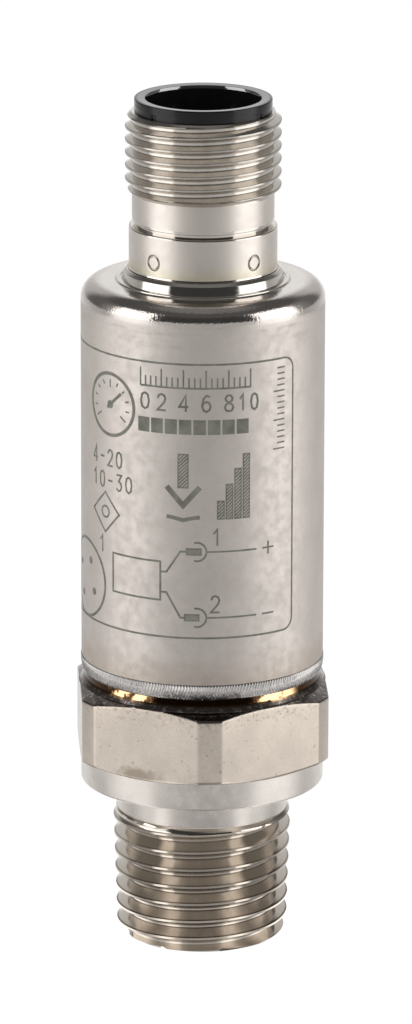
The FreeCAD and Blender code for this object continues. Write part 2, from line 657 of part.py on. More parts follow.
def ring_groove(radius, middle, depth):
    """The corners of a square groove round a shaft, from below to above."""
    floor = "(%s - %s)" % (radius, depth)
    low = "(%s - %s / 2)" % (middle, depth)
    high = "(%s + %s / 2)" % (middle, depth)
    return [(radius, low), (floor, low), (floor, high), (radius, high)]


def build_contact_carrier():
    """The black insert: rim, keyed socket and the base that holds the pins."""
    body = new_body("contact_carrier", CARRIER_Z)
    floor = "(Sizes.carrier_length - Sizes.socket_depth)"
    rim = "(Sizes.carrier_length - Sizes.rim_height)"
    ledge = "(%s - Sizes.skirt_length)" % rim
    revolve(body, [
        ("0", "0"),
        (BASE_R, "0"),
        *ring_groove(BASE_R, "Sizes.carrier_groove_rise", "Sizes.carrier_groove_depth"),
        (BASE_R, ledge),
        (SKIRT_R, ledge),
        (SKIRT_R, rim),
        (SKIRT_R + " + Sizes.rim_overhang", rim),
        (SKIRT_R + " + Sizes.rim_overhang", "Sizes.carrier_length"),
        (SOCKET_R + " + Sizes.rim_chamfer", "Sizes.carrier_length"),
        (SOCKET_R, "Sizes.carrier_length - Sizes.rim_chamfer"),
        (SOCKET_R, floor),
        ("0", floor),
    ])
    key = new_sketch(body, "key", "XY_Plane", floor)
    rectangle(key, "-Sizes.key_width / 2", "Sizes.key_width / 2",
              "-(%s + Sizes.socket_wall / 2)" % SOCKET_R, "Sizes.key_height - " + SOCKET_R)
    pad(body, key, "Sizes.socket_depth - Sizes.key_setback")
    pin_holes(body, "Sizes.pin_dia / 2 + Sizes.pin_clearance", floor)
    return body


def build_seal(label, height, gap, inner_radius):
    """An O-ring between a groove's floor and the wall round it."""
    body = new_body(label, height)
    section = new_sketch(body, "section", "XZ_Plane")
    circle(section, "(%s) / 2 - Sizes.seal_gap" % gap, "%s + (%s) / 2" % (inner_radius, gap))
    ring = body.newObject("PartDesign::Revolution", label + "_ring")
    ring.Profile = section
    ring.ReferenceAxis = (section, ["V_Axis"])
    ring.Angle = 360
    finish(body, ring)
    return body


def build_seals():
    """The O-ring round the carrier's base and the one round the sleeve's foot."""
    build_seal("carrier_seal", CARRIER_Z + " + Sizes.carrier_groove_rise",
               "Sizes.carrier_groove_depth + Sizes.carrier_clearance",
               BASE_R + " - Sizes.carrier_groove_depth")
    build_seal("sleeve_seal",
               SLEEVE_Z + " - Sizes.foot_length + Sizes.sleeve_groove_rise",
               "Sizes.sleeve_groove_depth + Sizes.press_clearance",
               FOOT_R + " - Sizes.sleeve_groove_depth")


def build_threaded_sleeve():
    """The M12 sleeve: pressed foot, staked band, relief and thread."""
    body = new_body("threaded_sleeve", SLEEVE_Z)
    foot = "(0 - Sizes.foot_length)"
    lip = "(Sizes.band_length + Sizes.lip_groove_length)"
    relief_r = "(%s - Sizes.relief_depth)" % THREAD_R
    relief_top = "(%s + Sizes.relief_length)" % lip
    ledge = "(%s - Sizes.skirt_length - Sizes.carrier_clearance)" % SLEEVE_LENGTH
    revolve(body, [
        (FOOT_BORE_R, foot),
        (FOOT_R, foot),
        *ring_groove(FOOT_R, foot + " + Sizes.sleeve_groove_rise", "Sizes.sleeve_groove_depth"),
        (FOOT_R, "0"),
        (BAND_R, "0"),
        (BAND_R, "Sizes.band_length"),
        (relief_r + " - Sizes.lip_groove_depth", "Sizes.band_length"),
        (relief_r + " - Sizes.lip_groove_depth", lip),
        (relief_r, lip),
        (relief_r, relief_top),
        (THREAD_R, relief_top),
        (THREAD_R, SLEEVE_LENGTH + " - Sizes.plug_thread_chamfer"),
        (THREAD_R + " - Sizes.plug_thread_chamfer", SLEEVE_LENGTH),
        (SLEEVE_BORE_R, SLEEVE_LENGTH),
        (SLEEVE_BORE_R, ledge),
        (FOOT_BORE_R, ledge),
    ])
    marks = [stake_mark(body, name, sign) for name, sign in (("left", "-"), ("right", "+"))]
    repeat_round(body, marks, 2)
    return body


def stake_mark(body, name, sign):
    """A round flat-bottomed mark in the band, beside the front or opposite it."""
    angle = "(Sizes.crimp_turn %s Sizes.crimp_spread / 2)" % sign
    floor = "(%s - Sizes.crimp_depth)" % BAND_R
    sketch = new_sketch(body, name + "_mark", "XZ_Plane", "%s * cos%s" % (floor, angle))
    upright = FreeCAD.Rotation(FreeCAD.Vector(0, 1, 0), 1)
    sketch.AttachmentOffset = FreeCAD.Placement(FreeCAD.Vector(), upright)
    sketch.setExpression("AttachmentOffset.Rotation.Angle", angle)
    sketch.setExpression("AttachmentOffset.Base.x", "%s * sin%s" % (floor, angle))
    circle(sketch, "Sizes.crimp_dia / 2", "0", "Sizes.crimp_rise")
    return pocket(body, sketch, "Sizes.crimp_dia", reverse=True)


def build_housing_tube():
    """The housing: tube, rounded shoulder, sloping roof and stepped throat."""
    body = new_body("housing_tube", HOUSING_Z)
    roof = "Sizes.housing_length"
    ceiling = "(Sizes.housing_length - Sizes.housing_wall)"
    ledge = roof + " + Sizes.throat_ledge_rise"
    top = roof + " + Sizes.throat_height"
    revolve(body, [
        (BORE_R, "0"),
        (HOUSING_R, "0"),
        (HOUSING_R, roof, "Sizes.shoulder_radius"),
        (THROAT_R, roof + " + Sizes.roof_rise"),
        (THROAT_R, ledge),
        (THROAT_STEP_R, ledge),
        (THROAT_TOP_R, top),
        (THROAT_BORE_R, top),
        (THROAT_BORE_R, ceiling + " - Sizes.throat_depth"),
        (THROAT_R, ceiling + " - Sizes.throat_depth"),
        (THROAT_R, ceiling),
        (BORE_R, ceiling, "Sizes.inner_radius"),
    ])
    return body


def build_housing_weld():
    """The weld bead that joins the housing to the spigot."""
    body = new_body("housing_weld", WELD_Z)
    inner = "(%s + Sizes.weld_clearance)" % REGISTER_R
    revolve(body, [
        (inner, "0"),
        (SPIGOT_R, "0"),
        (SPIGOT_R + " + Sizes.weld_foot_step", "Sizes.weld_height / 4"),
        (HOUSING_R + " + Sizes.weld_bulge", "Sizes.weld_height * 3 / 4", "Sizes.weld_crest_radius"),
        (HOUSING_R, "Sizes.weld_height"),
        (inner, "Sizes.weld_height"),
    ])
    return body


def build_insulating_tube():
    """A thin film tube between the boards and the housing."""
    body = new_body("insulating_tube", REGISTER_TOP_Z)
    sketch = new_sketch(body, "ring", "XY_Plane")
    circle(sketch, TUBE_OUTER_R)
    circle(sketch, TUBE_INNER_R)
    pad(body, sketch, "%s - %s - Sizes.tube_end_gap" % (CEILING_Z, REGISTER_TOP_Z))
    return body


def build_ground_spring():
    """A bent leaf from the connector board to the housing wall."""
    body = new_body("ground_spring", CONNECTOR_BOARD_Z + " + Sizes.connector_board_thickness")
    sketch = new_sketch(body, "side", "XZ_Plane")
    reach = "(%s - Sizes.spring_gap - Sizes.spring_thickness)" % BORE_R
    heel = "(%s - Sizes.spring_foot)" % CONNECTOR_BOARD_R
    knee = "(%s - Sizes.spring_foot / 2)" % CONNECTOR_BOARD_R
    leaf = "Sizes.spring_thickness"
    outline(sketch, [
        (heel, "0"),
        (knee, "0"),
        (reach, "Sizes.spring_rise * 3 / 4"),
        (knee, "Sizes.spring_rise"),
        (knee, "Sizes.spring_rise - " + leaf),
        (reach + " - %s * 2" % leaf, "Sizes.spring_rise * 3 / 4"),
        (knee + " - %s / 2" % leaf, leaf),
        (heel, leaf),
    ])
    pad(body, sketch, "Sizes.spring_width", symmetric=True)
    return body


def check_document():
    """Stop if an object failed or a sub-part is not a valid solid."""
    for item in doc.Objects:
        if "Invalid" in item.State or "Error" in item.State:
            raise RuntimeError("%s failed" % item.Label)
    for body in doc.findObjects("PartDesign::Body"):
        if body.Shape.isNull() or not body.Shape.isValid() or not body.Shape.Solids:
            raise RuntimeError("%s is not a valid solid" % body.Label)


build_process_connection()
build_measuring_cell()
build_cell_weld()
build_strain_gauges()
build_cell_board()
build_flex_lead()
build_board_holder()
build_main_board()
build_all_board_parts()
build_connector_board()
build_pin_solder()
for pin_number in (1, 2, 3, 4):
    build_contact_pin(pin_number)
build_contact_carrier()
build_seals()
build_threaded_sleeve()
build_housing_tube()
build_housing_weld()
build_insulating_tube()
build_ground_spring()
doc.recompute()
check_document()

os.makedirs("parts", exist_ok=True)
for part in doc.findObjects("PartDesign::Body"):
    part.Shape.exportStep("parts/%s.step" % part.Label)
    print("%-20s %d solid(s) %9.3f mm3" % (part.Label, len(part.Shape.Solids), part.Shape.Volume))
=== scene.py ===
"""Looks of the pressure transmitter: steel skins, cut threads, weld, etched marks and studio."""
import bpy
import math
from mathutils import Matrix, Vector


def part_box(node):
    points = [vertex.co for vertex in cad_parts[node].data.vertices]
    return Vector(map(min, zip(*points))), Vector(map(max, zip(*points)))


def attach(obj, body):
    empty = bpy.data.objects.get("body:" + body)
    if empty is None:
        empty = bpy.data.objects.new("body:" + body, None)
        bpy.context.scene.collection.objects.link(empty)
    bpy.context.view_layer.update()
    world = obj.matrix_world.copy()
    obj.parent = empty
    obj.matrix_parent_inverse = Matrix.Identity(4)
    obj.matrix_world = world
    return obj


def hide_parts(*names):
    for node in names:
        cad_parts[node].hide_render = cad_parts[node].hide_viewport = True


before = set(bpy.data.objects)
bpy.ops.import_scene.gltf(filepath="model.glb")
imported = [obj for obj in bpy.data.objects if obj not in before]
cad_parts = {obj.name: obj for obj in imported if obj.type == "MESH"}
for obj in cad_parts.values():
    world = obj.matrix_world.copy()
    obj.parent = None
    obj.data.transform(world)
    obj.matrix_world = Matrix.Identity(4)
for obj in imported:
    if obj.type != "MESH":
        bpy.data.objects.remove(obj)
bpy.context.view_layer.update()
MM = 0.001


def box_mm(node):
    """Lowest and highest corner of a CAD node in millimetres."""
    low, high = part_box(node)
    return [v / MM for v in low], [v / MM for v in high]


# Heights and radii that the CAD model fixes, in millimetres.
CONNECTION_LOW, CONNECTION_HIGH = box_mm("process_connection")
WELD_LOW = box_mm("housing_weld")[0]
HOUSING_LOW, HOUSING_HIGH = box_mm("housing_tube")
SLEEVE_LOW, SLEEVE_HIGH = box_mm("threaded_sleeve")
INSERT_LOW, INSERT_HIGH = box_mm("contact_carrier")
HEX_R = -CONNECTION_LOW[1]
REGISTER_TOP = CONNECTION_HIGH[2]
WELD_Z = WELD_LOW[2]
HOUSING_Z = HOUSING_LOW[2]
HOUSING_R = -HOUSING_LOW[1]
THROAT_Z = HOUSING_HIGH[2]
THREAD_R = SLEEVE_HIGH[1]
SLEEVE_TOP = SLEEVE_HIGH[2]
SLEEVE_FOOT = SLEEVE_LOW[2]
RIM_R = INSERT_HIGH[1]
RIM_TOP = INSERT_HIGH[2]

# Finer forms of the same pieces, in millimetres and degrees.
CHAMFER_TAN = math.tan(math.radians(20.5))
HEX_FLATS = 19.0
HEX_TURN = 3.35
CORNER_REACH = 4.79
COLLAR_R = 9.375
SPIGOT_R = HOUSING_R - 0.38
SPIGOT_Z = WELD_Z - 0.72
FILLET_R = 0.30
LAND_TOP = SPIGOT_Z - (HEX_R - SPIGOT_R) * CHAMFER_TAN
LAND_LOW = LAND_TOP - 4.98
HEX_Z = LAND_LOW - (HEX_R - COLLAR_R) * CHAMFER_TAN
COLLAR_Z = HEX_Z - 2.1
PORT_R = 2.25
END_R = 5.2
REGISTER_R = 8.4
RECESS_R = 7.0
RECESS_Z = WELD_Z + 0.5
PIPE_TOP = 10.3
PIPE_PITCH = 1.4111
PIPE_DEPTH = 0.97
PIPE_CREST = 0.08
PIPE_PHASE = 0.95
PIPE_START_R = 6.575
PIPE_TAPER = 1 / 32
NECK_R = 6.6
BEAD_R = 9.375
HOUSING_WALL = 0.9
ROOF_Z = THROAT_Z - 1.0
THROAT_BORE = 5.22
THROAT_WALL_R = 6.6
PLUG_PITCH = 1.0
PLUG_DEPTH = 0.525
PLUG_CREST = 0.07
PLUG_PHASE = 0.45
RELIEF_R = 5.42
RELIEF_TOP = SLEEVE_TOP - 6.3
BAND_R = 5.66
BAND_TOP = THROAT_Z + 3.3
FOOT_R = 5.2
SLEEVE_BORE = 4.18
SLEEVE_MOUTH = 4.78
LEDGE_Z = RIM_TOP - 9.73
MARK_ANGLES = (-41.7, 43.4, 138.3, -136.6)
MARK_RISE = 1.2
SOCKET_R = 4.35
SOCKET_FLOOR = RIM_TOP - 8.4


def smoothstep(low, high, x):
    t = min(max((x - low) / (high - low), 0.0), 1.0)
    return t * t * (3 - 2 * t)


def softmin(a, b, k):
    """The smaller of two lengths, rounded where they meet."""
    h = max(k - abs(a - b), 0.0) / k
    return min(a, b) - h * h * k / 4


def at(phi, r, z):
    """Metres from an angle off the front, a radius and a height in millimetres."""
    return (r * math.sin(phi) * MM, -r * math.cos(phi) * MM, z * MM)


def turn_columns(step, marks=(), offsets=()):
    """Angles once round from the back, closer together at marks, seam at both ends."""
    angles = {-180.0, 180.0}
    count = int(round(360 / step))
    extra = sorted(((m + o + 180) % 360) - 180 for m in marks for o in offsets)
    for i in range(count):
        angle = -180 + i * 360 / count
        if all(abs(angle - e) > step * 0.2 for e in extra):
            angles.add(angle)
    angles.update(extra)
    return [math.radians(a) for a in sorted(angles)]


def profile(corners, segments=6, support=0.07):
    """(radius, height) points along corners (r, z[, rounding]), with support points by bends."""
    points = []
    last = len(corners) - 1
    for i, corner in enumerate(corners):
        here = Vector(corner[:2])
        if len(corner) < 3 or i in (0, last):
            points.append(here)
            continue
        back = (Vector(corners[i - 1][:2]) - here).normalized()
        ahead = (Vector(corners[i + 1][:2]) - here).normalized()
        half = back.angle(ahead) / 2
        reach = corner[2] / math.tan(half)
        centre = here + (back + ahead).normalized() * (corner[2] / math.sin(half))
        start = here + back * reach - centre
        stop = here + ahead * reach - centre
        sweep = start.angle_signed(stop)
        for k in range(segments + 1):
            a = -sweep * k / segments
            points.append(centre + Vector((start.x * math.cos(a) - start.y * math.sin(a),
                                           start.x * math.sin(a) + start.y * math.cos(a))))
    out = []
    for a, b in zip(points, points[1:]):
        out.append(a)
        length = (b - a).length
        if length > 4 * support:
            out.append(a.lerp(b, support / length))
            out.append(b.lerp(a, support / length))
    out.append(points[-1])
    return [(p.x, p.y) for p in out]


def rows_of(corners, columns, segments=6):
    """Rows of points that are the same all the way round."""
    return [[at(phi, r, z) for phi in columns] for r, z in profile(corners, segments)]


def thread_rows(columns, low, high, pitch, phase, crest, depth, radius):
    """Rows that follow a right-hand helix, held between two heights."""
    steps = 5
    flank = depth / math.sqrt(3)
    marks = [-crest, 0.0, crest]
    marks += [crest + flank * (k + 1) / steps for k in range(steps)]
    marks += [pitch - crest - flank * (steps - k) / steps for k in range(steps)]
    first = math.floor(low / pitch - phase - 1)
    last = math.ceil(high / pitch - phase + 1)
    rows = []
    for turn in range(first, last + 1):
        for mark in marks:
            row = []
            for phi in columns:
                z = (turn + phase + phi / math.tau) * pitch + mark
                z = min(max(z, low), high)
                row.append(at(phi, radius(phi, z), z))
            rows.append(row)
    return rows


def groove(phi, z, pitch, phase, crest, depth):
    """How deep a sixty degree thread is cut at an angle and a height."""
    t = (z / pitch - phase - phi / math.tau) % 1.0
    d = min(t, 1 - t) * pitch
    return min(max(d - crest, 0.0) * math.sqrt(3), depth)


def skin(name, bands, node, sharp=38):
    """A closed skin that replaces a CAD node, from bands of rows, each with its material."""
    rows = [row for band, material in bands for row in band]
    used = []
    for band, material in bands:
        used += [material] * len(band)
    materials = list(dict.fromkeys(used))
    width = len(rows[0])
    points = [p for row in rows for p in row]
    faces = []
    finishes = []
    count = len(rows)
    for i in range(count):
        a = i * width
        b = ((i + 1) % count) * width
        for j in range(width - 1):
            faces.append((a + j, a + j + 1, b + j + 1, b + j))
        finishes += [materials.index(used[i])] * (width - 1)
    thing = solid(name, points, faces, materials, sharp, finishes=finishes)
    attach(thing, "root")
    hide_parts(node)
    return thing


def solid(name, points, faces, materials, sharp=38, weld=1e-7, finishes=None):
    """A smooth shaded mesh object with doubled points joined."""
    import bmesh
    mesh = bpy.data.meshes.new(name)
    mesh.from_pydata(points, [], faces)
    for material in materials:
        mesh.materials.append(material)
    if finishes:
        mesh.polygons.foreach_set("material_index", finishes)
    work = bmesh.new()
    work.from_mesh(mesh)
    bmesh.ops.remove_doubles(work, verts=work.verts, dist=weld)
    bmesh.ops.dissolve_degenerate(work, edges=work.edges, dist=weld / 2)
    work.to_mesh(mesh)
    work.free()
    mesh.shade_smooth()
    mesh.set_sharp_from_angle(angle=math.radians(sharp))
    thing = bpy.data.objects.new(name, mesh)
    bpy.context.scene.collection.objects.link(thing)
    return thing


class Shader:
    """Short-hand for the node tree of one material or of the world."""

    def __init__(self, owner):
        owner.use_nodes = True
        self.owner = owner
        self.tree = owner.node_tree
        self.tree.nodes.clear()

    def add(self, kind, **settings):
        node = self.tree.nodes.new(kind)
        for key, value in settings.items():
            setattr(node, key, value)
        return node

    def put(self, socket, value):
        if isinstance(value, bpy.types.NodeSocket):
            self.tree.links.new(value, socket)
        elif value is not None:
            socket.default_value = value

    def math(self, operation, a, b=None, c=None):
        node = self.add("ShaderNodeMath", operation=operation)
        for socket, value in zip(node.inputs, (a, b, c)):
            self.put(socket, value)
        return node.outputs[0]

    def smooth(self, x, low, high, start=0.0, end=1.0):
        node = self.add("ShaderNodeMapRange", interpolation_type="SMOOTHSTEP")
        for key, value in zip(("Value", "From Min", "From Max", "To Min", "To Max"),
                              (x, low, high, start, end)):
            self.put(node.inputs[key], value)
        return node.outputs[0]

    def noise(self, vector, scale, detail=3.0, rough=0.55):
        node = self.add("ShaderNodeTexNoise")
        self.put(node.inputs["Vector"], vector)
        node.inputs["Scale"].default_value = scale
        node.inputs["Detail"].default_value = detail
        node.inputs["Roughness"].default_value = rough
        return node.outputs[0]

    def mix(self, factor, a, b):
        node = self.add("ShaderNodeMix", data_type="RGBA")
        self.put(node.inputs[0], factor)
        self.put(node.inputs[6], a if not isinstance(a, tuple) else (*a, 1.0))
        self.put(node.inputs[7], b if not isinstance(b, tuple) else (*b, 1.0))
        return node.outputs[2]

    def join(self, x, y, z):
        node = self.add("ShaderNodeCombineXYZ")
        for socket, value in zip(node.inputs, (x, y, z)):
            self.put(socket, value)
        return node.outputs[0]

    def place(self):
        """Object coordinates in millimetres: the vector, the radius, the height, x and y."""
        coords = self.add("ShaderNodeTexCoord")
        scale = self.add("ShaderNodeVectorMath", operation="SCALE")
        self.put(scale.inputs[0], coords.outputs["Object"])
        scale.inputs["Scale"].default_value = 1 / MM
        parts = self.add("ShaderNodeSeparateXYZ")
        self.put(parts.inputs[0], scale.outputs[0])
        x, y, z = parts.outputs
        radius = self.math("SQRT", self.math("ADD", self.math("MULTIPLY", x, x),
                                             self.math("MULTIPLY", y, y)))
        return scale.outputs[0], radius, z, x, y

    def helix(self, x, y, z, pitch, phase):
        """Where a point lies along a thread's profile: 0 and 1 on the crest, 0.5 in the root."""
        turn = self.math("ARCTAN2", x, self.math("MULTIPLY", y, -1.0))
        turn = self.math("DIVIDE", turn, math.tau)
        along = self.math("MULTIPLY_ADD", z, 1 / pitch, -phase)
        return self.math("FRACT", self.math("SUBTRACT", along, turn))

    def steps(self, x, stops):
        """A value read off straight lines between (place, value) pairs from 0 to 1."""
        node = self.add("ShaderNodeValToRGB")
        self.put(node.inputs[0], x)
        marks = node.color_ramp.elements
        while len(marks) < len(stops):
            marks.new(0.5)
        for mark, (place, value) in zip(marks, stops):
            mark.position = place
            mark.color = (value, value, value, 1.0)
        return node.outputs[0]

    def bump(self, height, distance, normal=None):
        node = self.add("ShaderNodeBump")
        node.inputs["Strength"].default_value = 1.0
        node.inputs["Distance"].default_value = distance * MM
        self.put(node.inputs["Height"], height)
        self.put(node.inputs["Normal"], normal)
        return node.outputs[0]


# Heights of the fine grain and the pits at strength 1, in millimetres.
GRAIN_HEIGHT = 0.004
PIT_DEPTH = 0.01


def tone(colour, factor):
    return tuple(c * factor for c in colour)


def finish_material(s, colour, rough, normal, metallic=1.0, turned=0.0, **constants):
    """Put a colour, a roughness and a normal on a Principled shader, brushed round if turned."""
    shader = s.add("ShaderNodeBsdfPrincipled")
    if turned:
        tangent = s.add("ShaderNodeTangent", direction_type="RADIAL", axis="Z")
        s.put(shader.inputs["Tangent"], tangent.outputs[0])
        shader.inputs["Anisotropic"].default_value = turned
        shader.inputs["Anisotropic Rotation"].default_value = 0.25
    s.put(shader.inputs["Base Color"], colour)
    s.put(shader.inputs["Roughness"], rough)
    s.put(shader.inputs["Normal"], normal)
    shader.inputs["Metallic"].default_value = metallic
    for key, value in constants.items():
        shader.inputs[key.replace("_", " ")].default_value = value
    out = s.add("ShaderNodeOutputMaterial")
    s.put(out.inputs["Surface"], shader.outputs[0])
    return s.owner


def metal(name, colour, rough, grain=0.0, lines=0.0, spread=0.10, pits=0.0, tint=None,
          turned=0.0):
    """Steel or bronze: cloudy colour, uneven gloss, blasted grain, turned lines and pits."""
    s = Shader(bpy.data.materials.new(name))
    mm, radius, z, x, y = s.place()
    cloud = s.noise(mm, 0.35, 4.0)
    fine = s.noise(mm, 6.0, 2.0)
    mixed = s.mix(s.smooth(cloud, 0.3, 0.7), tone(colour, 1 - spread),
                  tone(colour, 1 + spread * 0.5))
    mixed = s.mix(s.smooth(fine, 0.35, 0.75, 0.0, 0.35), mixed, tone(colour, 1 - spread * 1.6))
    roughness = s.smooth(s.noise(mm, 1.3, 4.0), 0.3, 0.7, rough * 0.85, rough * 1.15)
    normal = None
    if lines:
        rings = s.noise(s.join(s.math("MULTIPLY", radius, 7.0), s.math("MULTIPLY", z, 7.0),
                               s.math("MULTIPLY", cloud, 1.5)), 1.0, 4.0, 0.7)
        normal = s.bump(rings, GRAIN_HEIGHT * lines)
    if grain:
        normal = s.bump(s.noise(mm, 6.0, 1.0, 0.5), GRAIN_HEIGHT * grain, normal)
    if pits:
        spots = s.smooth(s.noise(mm, 3.2, 2.0), 0.66, 0.72)
        normal = s.bump(s.math("MULTIPLY", spots, -1.0), PIT_DEPTH * pits, normal)
        mixed = s.mix(s.math("MULTIPLY", spots, 0.45), mixed, tone(colour, 0.35))
    if tint:
        mixed, roughness = tint(s, mm, radius, z, x, y, mixed, roughness)
    return finish_material(s, mixed, roughness, normal, turned=turned)


def housing_tint(s, mm, radius, z, x, y, colour, rough):
    """Straw haze above the weld and smudges under the shoulder."""
    ragged = s.math("ADD", z, s.math("MULTIPLY", s.noise(mm, 0.6, 4.0), 1.6))
    straw = s.smooth(ragged, HOUSING_Z + 0.6, HOUSING_Z + 3.6, 0.40, 0.0)
    colour = s.mix(straw, colour, (0.40, 0.32, 0.24))
    smear = s.noise(s.join(s.math("MULTIPLY", x, 0.12), s.math("MULTIPLY", y, 0.12),
                           s.math("MULTIPLY", z, 1.4)), 1.0, 4.0, 0.65)
    upper = s.smooth(z, THROAT_Z - 6.5, THROAT_Z - 3.0)
    smudge = s.math("MULTIPLY", upper, s.smooth(smear, 0.5, 0.72, 0.0, 0.35))
    colour = s.mix(smudge, colour, (0.34, 0.29, 0.25))
    return colour, rough


def shoulder_tint(s, mm, radius, z, x, y, colour, rough):
    """Satin at the foot of the shoulder roll, polished above."""
    return colour, s.smooth(z, THROAT_Z - 2.75, THROAT_Z - 2.3, 0.5, 0.13)


def pipe_tint(s, mm, radius, z, x, y, colour, rough):
    """Painted shade on the thread: brown on the crest edges (partly residue, partly painted
    shade), dark lower flanks, and darker where flank and root meet.
    """
    place = s.helix(x, y, z, PIPE_PITCH, PIPE_PHASE)
    # Painted shade: dark on the downward-facing lower flanks, brown on the crest edges and darker
    # by each root, stronger on the lower turns.
    painted_thread_shade = s.steps(place, [(0.0, 0.0), (0.055, 0.0), (0.07, 0.85), (0.10, 0.75), (0.12, 0.0),
                           (0.41, 0.0), (0.43, 0.7), (0.455, 0.7), (0.47, 0.0), (0.53, 0.0),
                           (0.57, 0.34), (0.90, 0.42), (0.94, 0.0), (1.0, 0.0)])
    painted_thread_shade = s.math("MULTIPLY", painted_thread_shade, s.smooth(z, 0.5, 1.2))
    painted_thread_shade = s.math("MULTIPLY", painted_thread_shade, s.smooth(z, 2.0, 10.0, 1.2, 0.6))
    patchy = s.smooth(s.noise(mm, 1.3, 4.0), 0.3, 0.7, 0.75, 1.0)
    return s.mix(s.math("MULTIPLY", painted_thread_shade, patchy), colour, (0.13, 0.085, 0.055)), rough


def hexagon_tint(s, mm, radius, z, x, y, colour, rough):
    """Heat colours on chamfer and spigot, specks where they fade, and a scuff on a flat; the
    cone's dark scorch is partly painted reflection, and the gold patches on the spigot wall are
    painted glints.
    """
    ragged = s.math("ADD", z, s.math("MULTIPLY", s.noise(mm, 0.9, 5.0, 0.65), 0.5))
    speck = s.smooth(s.noise(mm, 2.6, 5.0, 0.7), 0.50, 0.66)
    edge = s.smooth(ragged, LAND_TOP - 0.9, LAND_TOP + 0.25, 0.0, 0.6)
    colour = s.mix(s.math("MULTIPLY", edge, speck), colour, (0.24, 0.19, 0.14))
    scuff_x, scuff_z = -4.9, HEX_Z + 0.4
    scuff_width, scuff_height = 2.4, 0.9
    along = s.math("MULTIPLY_ADD", x, 1 / scuff_width, -scuff_x / scuff_width)
    up = s.math("MULTIPLY_ADD", z, 1 / scuff_height, -scuff_z / scuff_height)
    reach = s.math("SQRT", s.math("MULTIPLY_ADD", along, along, s.math("MULTIPLY", up, up)))
    reach = s.math("MULTIPLY_ADD", s.noise(mm, 1.6, 5.0, 0.7), 1.4, reach)
    scuff = s.math("MULTIPLY", s.smooth(reach, 1.7, 0.9, 0.0, 0.75), s.smooth(y, 0.0, -2.0))
    colour = s.mix(scuff, colour, (0.27, 0.225, 0.17))
    slope = s.math("DIVIDE", s.math("SUBTRACT", LAND_TOP, z), CHAMFER_TAN)
    above = s.math("SUBTRACT", radius, slope)
    cone = s.smooth(above, HEX_R - 0.25, HEX_R - 0.05)
    # Dark scorch on the cone: partly heat tint, partly painted reflection of the dark room above
    # it.
    scorch_and_painted_reflection = s.mix(speck, (0.14, 0.115, 0.10), (0.46, 0.44, 0.42))
    colour = s.mix(cone, colour, scorch_and_painted_reflection)
    # Painted highlight: gold patches on the dark spigot wall only at the sides, where the
    # softboxes' glints fall; dark brown scorch elsewhere.
    wall = s.smooth(radius, SPIGOT_R + 0.34, SPIGOT_R + 0.14)
    side = s.math("ABSOLUTE", x)
    painted_glint_patches = s.math("MULTIPLY", s.smooth(side, 3.6, 4.6), s.smooth(side, 7.6, 6.8))
    painted_glint_patches = s.math("MULTIPLY", painted_glint_patches, s.smooth(s.noise(mm, 0.9, 3.0, 0.6), 0.42, 0.54))
    wall_with_painted_glints = s.mix(painted_glint_patches, (0.07, 0.035, 0.015), (0.98, 0.64, 0.34))
    colour = s.mix(wall, colour, wall_with_painted_glints)
    rough = s.math("MULTIPLY", rough, s.smooth(wall, 0.0, 1.0, 1.0, 0.7))
    return colour, s.math("MULTIPLY", rough, s.smooth(cone, 0.0, 1.0, 1.0, 0.7))


def weld_tint(s, mm, radius, z, x, y, colour, rough):
    """The bead: bright middle, a dark line at the housing and dark specks at its foot, darkest on
    the front as a painted reflection.
    """
    top = s.smooth(z, HOUSING_Z - 0.16, HOUSING_Z - 0.03)
    colour = s.mix(s.math("MULTIPLY", top, 0.85), colour, (0.06, 0.055, 0.05))
    low = s.smooth(z, WELD_Z + 0.85, WELD_Z + 0.45)
    # Painted reflection: the lower half of the bead's front is darkened as if it mirrored the
    # dark front of the room.
    front_painted_reflection = s.math("MULTIPLY", s.smooth(s.math("ABSOLUTE", x), 3.3, 2.7),
                   s.smooth(y, -6.0, -8.0))
    specks = s.smooth(s.noise(mm, 3.0, 4.0, 0.7), 0.36, 0.58, 0.25, 1.0)
    amount = s.math("MULTIPLY", low, s.smooth(front_painted_reflection, 0.0, 1.0, 0.3, 0.85))
    colour = s.mix(s.math("MULTIPLY", amount, specks), colour, (0.09, 0.08, 0.075))
    return colour, rough


def plug_tint(s, mm, radius, z, x, y, colour, rough):
    """Painted shade on the thread: dark lower flanks, darker crest edges and a dark line above
    each root.
    """
    place = s.helix(x, y, z, PLUG_PITCH, PLUG_PHASE)
    # Painted shade: dark lines that stand in for the shade under each crest.
    painted_thread_shade = s.steps(place, [(0.0, 0.25), (0.05, 0.3), (0.07, 0.7), (0.10, 0.5), (0.12, 0.0),
                           (0.35, 0.0), (0.375, 0.85), (0.42, 0.9), (0.44, 0.0), (0.56, 0.0),
                           (0.60, 0.28), (0.75, 0.34), (0.90, 0.12), (0.94, 0.25), (1.0, 0.25)])
    painted_thread_shade = s.math("MULTIPLY", painted_thread_shade, s.smooth(z, RELIEF_TOP + 0.1, RELIEF_TOP + 0.4))
    patchy = s.smooth(s.noise(mm, 1.5, 4.0), 0.3, 0.7, 0.8, 1.0)
    return s.mix(s.math("MULTIPLY", painted_thread_shade, patchy), colour, (0.05, 0.045, 0.04)), rough


def band_tint(s, mm, radius, z, x, y, colour, rough):
    """A straw tinge at the foot of the band."""
    low = s.smooth(z, THROAT_Z, THROAT_Z + 1.5, 0.7, 0.0)
    return s.mix(low, colour, (0.66, 0.60, 0.45)), rough


